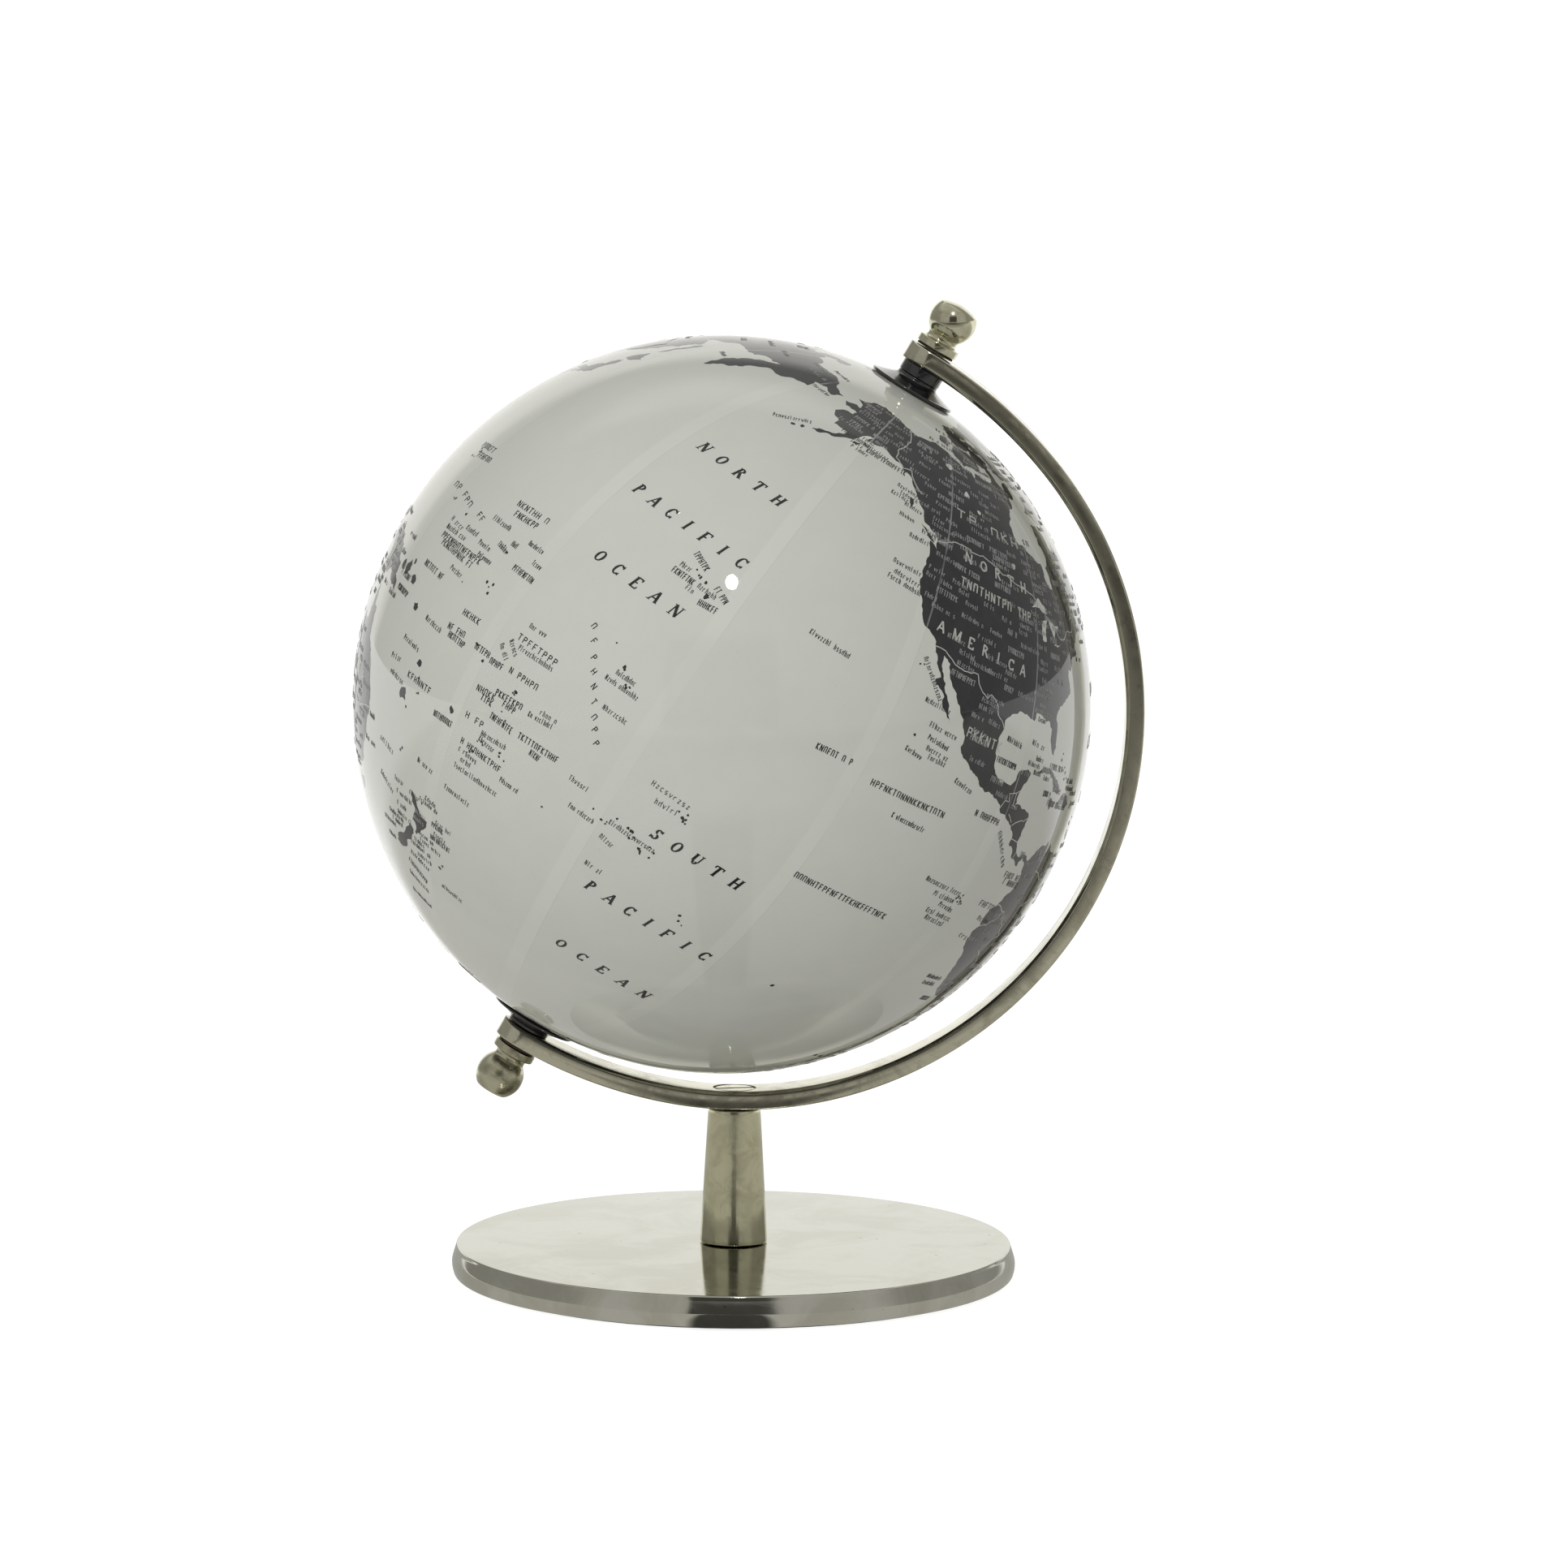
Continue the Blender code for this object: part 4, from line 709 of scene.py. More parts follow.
def add_names(ink, names, height, thick, thin, serifs, slant):
    cache = {}
    for word, lon, lat, spacing in names:
        for i, letter in enumerate(word):
            if letter not in cache:
                cache[letter] = joined(letter_polygons(letter, thick, thin, serifs))
            flat_points, faces = cache[letter]
            xy = (flat_points - [0.44, 0.5]) * height
            xy = np.stack([xy[:, 0] + slant * xy[:, 1], xy[:, 1]], 1)
            ink.add(on_plane(local_frame(lon + i * spacing, lat), xy), faces)


def add_label(ink, lon0, lat0, lon1, lat1, letters, bold, draws, scale=1.0):
    """A line of small lettering that spells nothing, between two points of the map."""
    run = (lon1 - lon0) * math.cos(math.radians(lat0))
    turn = math.atan2(lat1 - lat0, run)
    length = math.radians(math.hypot(run, lat1 - lat0)) * BALL_RADIUS
    pitch = length / letters
    height = (BOLD_HEIGHT if bold else LABEL_HEIGHT) * scale
    pen = min((BOLD_PEN if bold else LABEL_PEN) * scale, 0.24 * pitch)
    wide = pitch * (BOLD_WIDTH if bold else LABEL_WIDTH)
    marks = CAPITALS if bold else MARKS
    for i in range(letters):
        if draws.random() < WORD_GAPS:
            continue
        share = i / letters
        frame_of = local_frame(lon0 + (lon1 - lon0) * share, lat0 + (lat1 - lat0) * share, turn)
        for mark in draws.choice(CAPITALS if i == 0 else marks):
            x0, y0, x1, y1 = map(float, mark)
            quad = stroke_outline(x0 * wide, y0 * height, x1 * wide, y1 * height, pen)
            ink.add(on_plane(frame_of, quad), [[0, 1, 2, 3]])


def add_line(ink, points, width):
    """A ribbon along a line of unit vectors."""
    ahead = np.vstack([points[1:], points[-1:]]) - np.vstack([points[:1], points[:-1]])
    side = unit(np.cross(points, ahead)) * width / 2 / BALL_RADIUS
    ribbon = np.vstack([unit(points - side), unit(points + side)])
    n = len(points)
    ink.add(ribbon, [[i, n + i, n + i + 1, i + 1][::-1] for i in range(n - 1)])


def make_ink(dark, light, faint):
    """All the lettering and the border lines, each kind as one piece."""
    draws = random.Random(SEED + 1)
    names = Ink()
    add_names(names, SEA_NAMES, SEA_LETTER, *SEA_PENS, True, SLANT)
    names.finish("ink_sea_names", dark)
    names = Ink()
    add_names(names, LAND_NAMES, LAND_LETTER, *LAND_PENS, False, 0.0)
    for lon0, lat0, lon1, letters, scale in COUNTRIES:
        add_label(names, lon0, lat0, lon1, lat0, letters, True, draws, scale)
    names.finish("ink_land_names", light)
    labels = Ink()
    for text in LABELS.split(","):
        *ends, letters = text.split()
        add_label(labels, *map(float, ends), int(letters.rstrip("b")), letters.endswith("b"), draws)
    for lon, lat in numbers(SPACED).reshape(-1, 2):
        add_label(labels, lon, lat, lon + 0.9, lat - 0.3, 1, True, draws)
    for lon, lat in numbers(DOTS).reshape(-1, 2):
        for _ in range(draws.choice((1, 2, 3))):
            spot = lon + draws.gauss(0, 0.45), lat + draws.gauss(0, 0.35)
            labels.add(blob(*spot, draws.uniform(0.14, 0.3), draws, 7), [list(range(7))])
    shores = [numbers(text).reshape(-1, 2) for text in list(LAND.values())[:LETTERED_LANDS]]
    scattered(labels, shores, draws, SEA_SCATTER, False)
    labels.finish("ink_sea_labels", dark)
    lines = Ink()
    for text in BORDERS.split("|"):
        pairs = numbers(text).reshape(-1, 2)
        line = on_map(*pairs.T)
        rough = 0.0 if is_ruled(pairs) else BORDER_ROUGH
        add_line(lines, refined(line, BORDER_STEP, rough, draws, closed=False), BORDER_WIDTH)
    lines.finish("ink_borders", light)
    inland = Ink()
    scattered(inland, shores[:1] * MAIN_LAND_SHARE + shores, draws, LAND_SCATTER, True)
    inland.finish("ink_land_labels", faint)


def is_ruled(pairs):
    """True for a border that follows meridians or parallels."""
    steps = np.abs(np.diff(pairs, axis=0)).min(1)
    return bool((steps < 0.6).mean() > 0.7)


def scattered(ink, shores, draws, wanted, on_land):
    """Small lettering strewn over the land, or over the seas along its shores, where nothing stands yet."""
    taken = [on_map(lon + i * gap, lat) for word, lon, lat, gap in (LAND_NAMES if on_land else SEA_NAMES)
             for i in range(len(word))]
    if not on_land:
        for text in LABELS.split(","):
            lon0, lat0, lon1, lat1 = map(float, text.split()[:4])
            taken += [on_map(lon0 + (lon1 - lon0) * k, lat0 + (lat1 - lat0) * k) for k in (0.1, 0.5, 0.9)]
    made = 0
    for _ in range(wanted * 12):
        if made >= wanted:
            break
        shore = draws.choice(shores)
        if on_land:
            lon = draws.uniform(*np.sort(shore[:, 0])[[0, -1]])
            lat = draws.uniform(*np.sort(shore[:, 1])[[0, -1]])
        else:
            lon, lat = shore[draws.randrange(len(shore))] + [draws.uniform(-7, 4), draws.uniform(-1.5, 1.5)]
        letters = draws.randint(5, 11)
        reach = letters * SCATTER_PITCH / max(math.cos(math.radians(lat)), 0.2)
        if abs(lat) > SCATTER_POLE:
            continue
        ends = np.array([[lon, lat], [lon + reach / 2, lat], [lon + reach, lat]])
        dry = np.array([any(inside(s, p[None])[0] or inside(s, p[None] + [360, 0])[0] for s in shores)
                        for p in ends])
        if dry.all() != on_land or dry.any() != on_land:
            continue
        spots = [on_map(*p) for p in ends]
        if any(np.dot(a, b) > math.cos(SCATTER_CLEAR) for a in spots for b in taken):
            continue
        taken += spots
        bold = draws.random() < SCATTER_BOLD
        add_label(ink, lon, lat, lon + reach, lat, letters, bold, draws, SCATTER_SIZE)
        made += 1

# ---- node materials -------------------------------------------------------------------------------------

class Patterns:
    """A node tree and the few patterns that the finishes and the studio share."""

    def __init__(self, tree, coordinates):
        self.tree = tree
        self.where = tree.nodes.new("ShaderNodeTexCoord").outputs[coordinates]

    def put(self, node_input, value):
        if isinstance(value, bpy.types.NodeSocket):
            self.tree.links.new(value, node_input)
        else:
            opaque = node_input.type == "RGBA" and len(value) == 3
            node_input.default_value = (*value, 1.0) if opaque else value

    def maths(self, operation, a, b=0.0, c=0.0):
        node = self.tree.nodes.new("ShaderNodeMath")
        node.operation = operation
        for socket, value in zip(node.inputs, (a, b, c)):
            self.put(socket, value)
        return node.outputs[0]

    def times(self, a, b):
        return self.maths("MULTIPLY", a, b)

    def plus(self, a, b):
        return self.maths("ADD", a, b)

    def minus(self, a, b):
        return self.maths("SUBTRACT", a, b)

    def blend(self, a, b, share):
        """From a to b as share goes from 0 to 1."""
        return self.plus(self.times(a, self.minus(1.0, share)), self.times(b, share))

    def vector(self, operation, a, b=(0.0, 0.0, 0.0)):
        node = self.tree.nodes.new("ShaderNodeVectorMath")
        node.operation = operation
        self.put(node.inputs[0], a)
        self.put(node.inputs[1], b)
        return node.outputs["Value" if operation in ("DOT_PRODUCT", "LENGTH") else "Vector"]

    def combine(self, x, y, z):
        node = self.tree.nodes.new("ShaderNodeCombineXYZ")
        for socket, value in zip(node.inputs, (x, y, z)):
            self.put(socket, value)
        return node.outputs[0]

    def noise(self, scale, detail=4.0, roughness=0.55, where=None, distortion=0.0):
        node = self.tree.nodes.new("ShaderNodeTexNoise")
        self.put(node.inputs["Vector"], self.where if where is None else where)
        for socket, value in (("Scale", scale), ("Detail", detail), ("Roughness", roughness),
                              ("Distortion", distortion)):
            node.inputs[socket].default_value = value
        return node.outputs["Fac"]

    def cells(self, scale):
        node = self.tree.nodes.new("ShaderNodeTexVoronoi")
        self.put(node.inputs["Vector"], self.where)
        node.inputs["Scale"].default_value = scale
        return node.outputs["Distance"]

    def between(self, value, low, high, to_low=0.0, to_high=1.0):
        node = self.tree.nodes.new("ShaderNodeMapRange")
        node.interpolation_type = "SMOOTHSTEP"
        for socket, v in zip(node.inputs, (value, low, high, to_low, to_high)):
            self.put(socket, v)
        return node.outputs[0]

    def mix(self, factor, a, b):
        node = self.tree.nodes.new("ShaderNodeMix")
        node.data_type = "RGBA"
        self.put(node.inputs[0], factor)
        self.put(node.inputs[6], a)
        self.put(node.inputs[7], b)
        return node.outputs[2]

    def bump(self, height, strength, distance, under=None):
        node = self.tree.nodes.new("ShaderNodeBump")
        node.inputs["Strength"].default_value = strength
        node.inputs["Distance"].default_value = distance
        self.put(node.inputs["Height"], height)
        if under is not None:
            self.put(node.inputs["Normal"], under)
        return node.outputs[0]


class Finish(Patterns):
    """A Principled material."""

    def __init__(self, name, **sockets):
        self.material = bpy.data.materials.new(name)
        self.material.use_nodes = True
        super().__init__(self.material.node_tree, "Object")
        self.shader = self.tree.nodes["Principled BSDF"]
        for socket, value in sockets.items():
            self.shader.inputs[socket.replace("_", " ")].default_value = value

    def use(self, colour=None, roughness=None, normal=None):
        for socket, value in (("Base Color", colour), ("Roughness", roughness), ("Normal", normal)):
            if value is not None:
                self.put(self.shader.inputs[socket], value)
        return self.material


def scratches(f, scale, direction, width):
    """Fine straight lines: noise drawn out along one direction, kept where it is near its middle."""
    stretched = f.vector("MULTIPLY", f.where, direction)
    line = f.maths("ABSOLUTE", f.minus(f.noise(scale, 2.0, 0.4, stretched, 0.15), 0.5))
    patchy = f.between(f.noise(55.0, 2.0), 0.5, 0.62)
    return f.times(f.between(line, 0.0, width, 1.0, 0.0), patchy)


def cast_nickel():
    """The base: bright plate, cloudy in patches, with pits and stray scratches."""
    f = Finish("nickel_plate_base", Metallic=1.0, Specular_Tint=(0.85, 0.86, 0.86, 1.0))
    cloud = f.noise(38.0, 6.0, 0.62, distortion=0.6)
    fine = f.noise(420.0, 3.0)
    pits = f.times(f.between(f.cells(260.0), 0.05, 0.16, 1.0, 0.0), f.between(f.noise(90.0), 0.56, 0.66))
    marks = f.maths("MAXIMUM", scratches(f, 26.0, (1.0, 14.0, 1.0), 0.006),
                    scratches(f, 30.0, (11.0, -3.0, 1.0), 0.005))
    colour = f.mix(f.between(cloud, 0.38, 0.62), (0.55, 0.54, 0.46), (0.65, 0.64, 0.575))
    colour = f.mix(f.times(fine, 0.14), colour, (0.4, 0.37, 0.28))
    colour = f.mix(f.times(pits, 0.7), colour, (0.12, 0.11, 0.09))
    rough = f.plus(f.between(cloud, 0.4, 0.68, 0.05, 0.16), f.times(marks, 0.08))
    height = f.minus(f.times(fine, 0.05), f.plus(pits, f.times(marks, 0.12)))
    return f.use(colour, rough, f.bump(height, 0.14, 0.04 * MM))


def bar_nickel():
    """The bent bar: polishing lines that run along it, and dull stains."""
    f = Finish("nickel_plate_bar", Metallic=1.0)
    centre = AXLE @ Vector((ARC_CENTRE_X, 0.0, 0.0))
    spoke = f.vector("SUBTRACT", f.where, tuple(centre))
    along_x, along_z = (f.vector("DOT_PRODUCT", spoke, tuple(v)) for v in (SIDEWAYS, AXIS))
    radius = f.maths("SQRT", f.plus(f.times(along_x, along_x), f.times(along_z, along_z)))
    turn = f.times(f.maths("ARCTAN2", along_x, along_z), 0.012)
    across = f.vector("DOT_PRODUCT", spoke, (0.0, 1.0, 0.0))
    lines = f.noise(2600.0, 3.0, 0.6, f.combine(radius, across, turn))
    stain = f.noise(70.0, 6.0, 0.66, distortion=0.9)
    spots = f.between(f.noise(330.0, 4.0, 0.7), 0.55, 0.72)
    colour = f.mix(f.between(stain, 0.42, 0.66), (0.6, 0.58, 0.455), (0.46, 0.44, 0.34))
    colour = f.mix(f.times(spots, 0.35), colour, (0.3, 0.28, 0.23))
    rough = f.plus(f.between(stain, 0.35, 0.7, 0.07, 0.2), f.times(lines, 0.05))
    height = f.plus(f.times(lines, 0.4), f.times(stain, 2.0))
    return f.use(colour, rough, f.bump(height, 0.08, 0.02 * MM))


def turned_nickel(name, bright, dull, smear, origin):
    """Lathe-turned pieces: faint rings round their axis and a cloudy handling film."""
    f = Finish(name, Metallic=1.0)
    spoke = f.vector("SUBTRACT", f.where, tuple(origin[0]))
    height_on_axis = f.vector("DOT_PRODUCT", spoke, tuple(origin[1]))
    rings = f.noise(5200.0, 2.0, 0.5, f.combine(height_on_axis, 0.0, 0.0))
    film = f.noise(150.0, 5.0, 0.65, distortion=0.8)
    colour = f.mix(f.between(film, 0.4, 0.65), bright, dull)
    rough = f.plus(f.between(film, 0.35, 0.7, smear[0], smear[1]), f.times(rings, 0.05))
    return f.use(colour, rough, f.bump(f.plus(rings, f.times(film, 0.6)), 0.12, 0.02 * MM))


def plain_steel():
    f = Finish("zinc_steel", Metallic=1.0)
    film = f.noise(240.0, 5.0, 0.6)
    colour = f.mix(film, (0.62, 0.62, 0.6), (0.42, 0.42, 0.4))
    return f.use(colour, f.between(film, 0.3, 0.7, 0.3, 0.46), f.bump(film, 0.15, 0.03 * MM))


def black_gloss():
    """Moulded plastic of the pole bushes, with a trace of dust and fine rub marks."""
    f = Finish("black_gloss_plastic", Coat_Weight=0.7, Coat_Roughness=0.05)
    dust = f.between(f.noise(900.0, 4.0, 0.75), 0.58, 0.78)
    rub = f.noise(210.0, 4.0, 0.6, distortion=0.5)
    colour = f.mix(f.times(dust, 0.5), (0.008, 0.008, 0.0085), (0.07, 0.07, 0.066))
    return f.use(colour, f.between(rub, 0.35, 0.7, 0.12, 0.3), f.bump(rub, 0.08, 0.03 * MM))


# Dark brown washers between the arm and each knob's collar: their dark colour is the washers' own and also
# painted shade for the narrow gap there
def fibre():
    f = Finish("washer_fibre")
    grain = f.noise(1400.0, 5.0, 0.7)
    return f.use(f.mix(grain, (0.02, 0.014, 0.01), (0.07, 0.05, 0.035)), f.between(grain, 0.3, 0.7, 0.7, 0.9),
                 f.bump(grain, 0.4, 0.05 * MM))


def felt():
    f = Finish("black_felt", Sheen_Weight=0.6, Sheen_Roughness=0.4)
    fluff = f.noise(1800.0, 6.0, 0.8, distortion=1.4)
    colour = f.mix(fluff, (0.006, 0.006, 0.0065), (0.03, 0.03, 0.031))
    return f.use(colour, 0.95, f.bump(fluff, 0.8, 0.12 * MM))


def moulded_grey():
    f = Finish("moulded_grey_plastic")
    grain = f.noise(700.0, 4.0, 0.6)
    return f.use(f.mix(grain, (0.26, 0.26, 0.25), (0.32, 0.32, 0.31)), f.between(grain, 0.3, 0.7, 0.45, 0.6),
                 f.bump(grain, 0.15, 0.04 * MM))


GORE = 30.0                         # degrees of longitude on each printed strip


def gore_pattern(f):
    """Distance in millimetres from the nearest seam between the map's gores, and the gore's own shade."""
    spoke = f.vector("SUBTRACT", f.where, tuple(BALL_MIDDLE))
    x, y = (f.vector("DOT_PRODUCT", spoke, tuple(v)) for v in (MAP_X, MAP_Y))
    lon = f.plus(f.times(f.maths("ARCTAN2", y, x), 180 / math.pi), MAP_MERIDIAN + 90.0)
    off = f.maths("WRAP", lon, GORE / 2, -GORE / 2)
    ring = f.maths("SQRT", f.plus(f.times(x, x), f.times(y, y)))
    distance = f.times(f.times(off, ring), math.radians(1.0) / MM)
    gore = f.maths("FLOOR", f.maths("DIVIDE", lon, GORE))
    shade = f.tree.nodes.new("ShaderNodeTexWhiteNoise")
    shade.noise_dimensions = "1D"
    f.put(shade.inputs["W"], gore)
    return distance, shade.outputs["Value"]


# The coat carries the gloss, so the print under it has hardly any of its own
LACQUER = {"Coat_Weight": 1.0, "Coat_Roughness": 0.025, "Coat_IOR": 1.5, "Specular_IOR_Level": 0.05}


def lacquered(f, colour, rough):
    """A printed surface under clear gloss lacquer that isn't quite level."""
    wave = f.noise(34.0, 3.0, 0.5)
    f.put(f.shader.inputs["Coat Normal"], f.bump(wave, 0.06, 0.5 * MM))
    return f.use(colour, rough)


SEA_DARK, SEA_LIGHT, SEA_WARM = (0.555, 0.57, 0.525), (0.61, 0.625, 0.58), (0.585, 0.59, 0.53)
SEA_LAP, SEA_EDGE = (0.68, 0.69, 0.63), (0.36, 0.37, 0.33)


def sea_print():
    f = Finish("map_sea", **LACQUER)
    distance, shade = gore_pattern(f)
    paper = f.noise(90.0, 6.0, 0.6, distortion=0.4)
    speck = f.between(f.noise(1500.0, 3.0, 0.6), 0.66, 0.74)
    colour = f.mix(paper, SEA_DARK, SEA_LIGHT)
    colour = f.mix(f.times(shade, 0.35), colour, SEA_WARM)
    fade = f.between(f.noise(16.0, 2.0), 0.35, 0.6)
    lap = f.times(f.between(distance, -4.9, -4.0), f.between(distance, -0.1, 0.1, 1.0, 0.0))
    colour = f.mix(f.times(lap, f.plus(0.12, f.times(fade, 0.22))), colour, SEA_LAP)
    edge = f.between(f.maths("ABSOLUTE", distance), 0.05, 0.22, 1.0, 0.0)
    colour = f.mix(f.times(edge, f.plus(0.05, f.times(fade, 0.16))), colour, SEA_EDGE)
    colour = f.mix(f.times(speck, 0.2), colour, (0.3, 0.3, 0.26))
    return lacquered(f, colour, f.between(paper, 0.3, 0.7, 0.42, 0.55))


def land_print():
    f = Finish("map_land", **LACQUER)
    distance, shade = gore_pattern(f)
    toner = f.noise(160.0, 6.0, 0.65)
    colour = f.mix(f.between(toner, 0.35, 0.68), (0.02, 0.02, 0.0215), (0.03, 0.03, 0.0325))
    colour = f.mix(f.times(shade, 0.3), colour, (0.034, 0.034, 0.038))
    worn = f.between(f.noise(60.0, 4.0, 0.7), 0.36, 0.6, 0.25, 0.85)
    edge = f.between(f.maths("ABSOLUTE", distance), 0.12, 0.34, 1.0, 0.0)
    colour = f.mix(f.times(edge, worn), colour, (0.3, 0.3, 0.3))
    return lacquered(f, colour, f.between(toner, 0.3, 0.7, 0.4, 0.55))


def ink(name, colour, worn, amount):
    f = Finish(name, **LACQUER)
    patchy = f.noise(800.0, 3.0, 0.6)
    return lacquered(f, f.mix(f.between(patchy, 0.4, 0.75, 0.0, amount), colour, worn), 0.5)


# ---- turned and bent pieces -----------------------------------------------------------------------------

SHARP = math.radians(28.0)          # edges steeper than this stay sharp


def arc(cx, cy, radius, start, end, steps):
    return [(cx + radius * math.cos(a), cy + radius * math.sin(a))
            for a in np.radians(np.linspace(start, end, steps + 1))]


def curve(p0, p1, p2, p3, steps=10):
    """Points of a cubic from p0 to p3."""
    out = []
    for t in np.linspace(0, 1, steps + 1):
        w = ((1 - t) ** 3, 3 * t * (1 - t) ** 2, 3 * t * t * (1 - t), t ** 3)
        out.append(tuple(sum(k * p[i] for k, p in zip(w, (p0, p1, p2, p3))) for i in (0, 1)))
    return out


def lathe(name, profile, sides, matrix, body, material, nodes=()):
    """Turns (radius, height) points in millimetres about a local z axis into a closed piece."""
    bm = bmesh.new()
    rows = []
    for radius, height in profile:
        if radius < 1e-6:
            rows.append([bm.verts.new(matrix @ Vector((0.0, 0.0, height * MM)))])
        else:
            rows.append([bm.verts.new(matrix @ Vector((radius * MM * math.cos(a), radius * MM * math.sin(a),
                                                       height * MM)))
                         for a in circle(sides)])
    pairs = list(zip(rows, rows[1:]))
    if len(rows[0]) > 1:
        pairs.append((rows[-1], rows[0]))
    for low, high in pairs:
        for i in range(sides):
            j = (i + 1) % sides
            ring = [low[i % len(low)], low[j % len(low)], high[j % len(high)], high[i % len(high)]]
            corners = list(dict.fromkeys(ring))
            if len(corners) > 2:
                bm.faces.new(corners)
    return wrap(name, bm, body, material, nodes)


def wrap(name, bm, body, material, nodes=()):
    """A piece from a bmesh, with its steep edges left sharp."""
    bmesh.ops.recalc_face_normals(bm, faces=bm.faces)
    thing = make_piece(name, mesh_of(name, bm), body, (material,), nodes)
    thing.data.set_sharp_from_angle(angle=SHARP)
    return thing


def carve(thing, cutters):
    """Takes the cutters out of a piece, and removes them."""
    for cutter in cutters:
        step = thing.modifiers.new(cutter.name, "BOOLEAN")
        step.operation, step.solver, step.object = "DIFFERENCE", "EXACT", cutter
    bpy.context.view_layer.update()
    evaluated = thing.evaluated_get(bpy.context.evaluated_depsgraph_get())
    carved = bpy.data.meshes.new_from_object(evaluated)
    thing.modifiers.clear()
    thing.data = carved
    carved.set_sharp_from_angle(angle=SHARP)
    for cutter in cutters:
        bpy.data.objects.remove(cutter)


# Dimensions that repeat the part's, in millimetres
BAR_THICK, BAR_WIDE = 5.0, 14.0
BAR_OUTER_EDGE, BAR_INNER_EDGE = 0.55, 1.2              # radii of the bar's long edges
ARC_OFFSET, ARC_RADIUS, END_RADIUS, END_TURN = 5.4, 106.3, 125.0, 20.0
ARC_CENTRE_X = ARC_OFFSET * MM
TAB_START = 0.4                     # the round tabs take over this near to the axle
TAB_OUTER = ARC_RADIUS + (END_RADIUS - ARC_RADIUS) * (1 - math.cos(math.radians(END_TURN))) + BAR_THICK / 2
ROD_BORE, STEM_BORE, STEM_BORE_DEPTH = 2.8, 3.3, 15.0
KNOB_SEAT = TAB_OUTER + 1.0
KNOB_RADIUS, KNOB_CENTRE, KNOB_BORE_END = 6.5, 119.7, 118.6
KNOB_COLLAR, KNOB_COLLAR_RADIUS = 2.1, 5.9              # its thickness and radius
BALL_MM = 100.0
HUB_TOP, HUB_RADIUS, NECK_END, NECK_RADIUS, LIP_RADIUS = 103.25, 5.9, 92.0, 5.0, 12.2
SCREW_HEAD, SCREW_SHANK, SCREW_SLOT = 5.5, 3.0, (14.0, 1.4, 2.4)
SCREW_TURN = math.radians(12)
FELT_RECESS = (10.0, 5.4)           # radius, and height of its ceiling
ARM_STEPS = 150


def arm_centre(psi):
    """Middle line of the bar in the axle's frame, and its outward direction; psi runs north to south."""
    shift = END_RADIUS - ARC_RADIUS
    end = math.radians(END_TURN)
    side = 1.0 if psi < math.pi / 2 else -1.0
    out = (math.sin(psi), math.cos(psi))
    if min(psi, math.pi - psi) >= end:
        return (ARC_OFFSET + ARC_RADIUS * out[0], ARC_RADIUS * out[1]), out
    return (ARC_OFFSET - shift * math.sin(end) + END_RADIUS * out[0],
            -side * shift * math.cos(end) + END_RADIUS * out[1]), out


def bar_outline(half):
    """The bar's rounded section: across the bar, and outward."""
    points = []
    for sx, sy, start, r in ((1, 1, 0, BAR_OUTER_EDGE), (-1, 1, 90, BAR_OUTER_EDGE),
                             (-1, -1, 180, BAR_INNER_EDGE), (1, -1, 270, BAR_INNER_EDGE)):
        r = min(r, 0.45 * half)
        points += arc(sx * (half - r), sy * (BAR_THICK / 2 - 0.01 - r), r, start, start + 90, 6)
    return points


def make_arm(material):
    """The bar swept from pole to pole with its half-round tabs, and bored for the rod and the screw."""
    stations = []
    half = BAR_WIDE / 2
    for i in range(ARM_STEPS + 1):
        point, out = arm_centre(math.pi * i / ARM_STEPS)
        if point[0] > TAB_START:
            stations.append((point, out, half))
    for side in (1.0, -1.0):
        height = side * arm_centre(0.0)[0][1]
        tab = [((-half * math.sin(a), height), (0.0, side), half * math.cos(a))
               for a in np.radians(np.linspace(0, 80, 17))]
        stations = tab[::-1] + stations if side > 0 else stations + tab
    bm = bmesh.new()
    rings = []
    for (x, z), (nx, nz), width in stations:
        rings.append([bm.verts.new(AXLE @ (Vector((x + nx * o, a, z + nz * o)) * MM))
                      for a, o in bar_outline(width)])
    for near, far in zip(rings, rings[1:]):
        for i in range(len(near)):
            j = (i + 1) % len(near)
            bm.faces.new((near[i], near[j], far[j], far[i]))
    bm.faces.new(rings[0])
    bm.faces.new(rings[-1])
    arm = wrap("meridian_arm_bar", bm, "stand", material, ["meridian_arm"])
    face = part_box("arm_screw")[1].z / MM
    hole = [(0, -130), (ROD_BORE, -130), (ROD_BORE, 130), (0, 130)]
    axle_bore = lathe("axle_bore", hole, 48, AXLE, "stand", material)
    sink = [(0, face + 1), (5.9, face + 1), (5.9, face - 0.4), (STEM_BORE, face - 3.1),
            (STEM_BORE, face - 16.3), (0, face - 16.3)]
    screw_bore = lathe("screw_bore", sink, 64, Matrix.Identity(4), "stand", material)
    carve(arm, [axle_bore, screw_bore])


def make_screw(material):
    tip, top = (corner.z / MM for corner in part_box("arm_screw"))
    profile = [(0, top), (SCREW_HEAD - 0.5, top)] + arc(SCREW_HEAD - 0.5, top - 0.5, 0.5, 90, 0, 5)
    profile += [(SCREW_HEAD, top - 0.7), (SCREW_SHANK, top - 2.8), (SCREW_SHANK, tip), (0, tip)]
    screw = lathe("arm_screw_slotted", profile, 64, Matrix.Identity(4), "stand", material,
                  ["arm_screw"])
    bm = bmesh.new()
    bmesh.ops.create_cube(bm, size=1.0)
    bmesh.ops.scale(bm, vec=[size * MM for size in SCREW_SLOT], verts=bm.verts)
    bmesh.ops.rotate(bm, matrix=Matrix.Rotation(SCREW_TURN, 3, "Z"), verts=bm.verts)
    bmesh.ops.translate(bm, vec=(0, 0, top * MM), verts=bm.verts)
    carve(screw, [wrap("screw_slot", bm, "stand", material)])


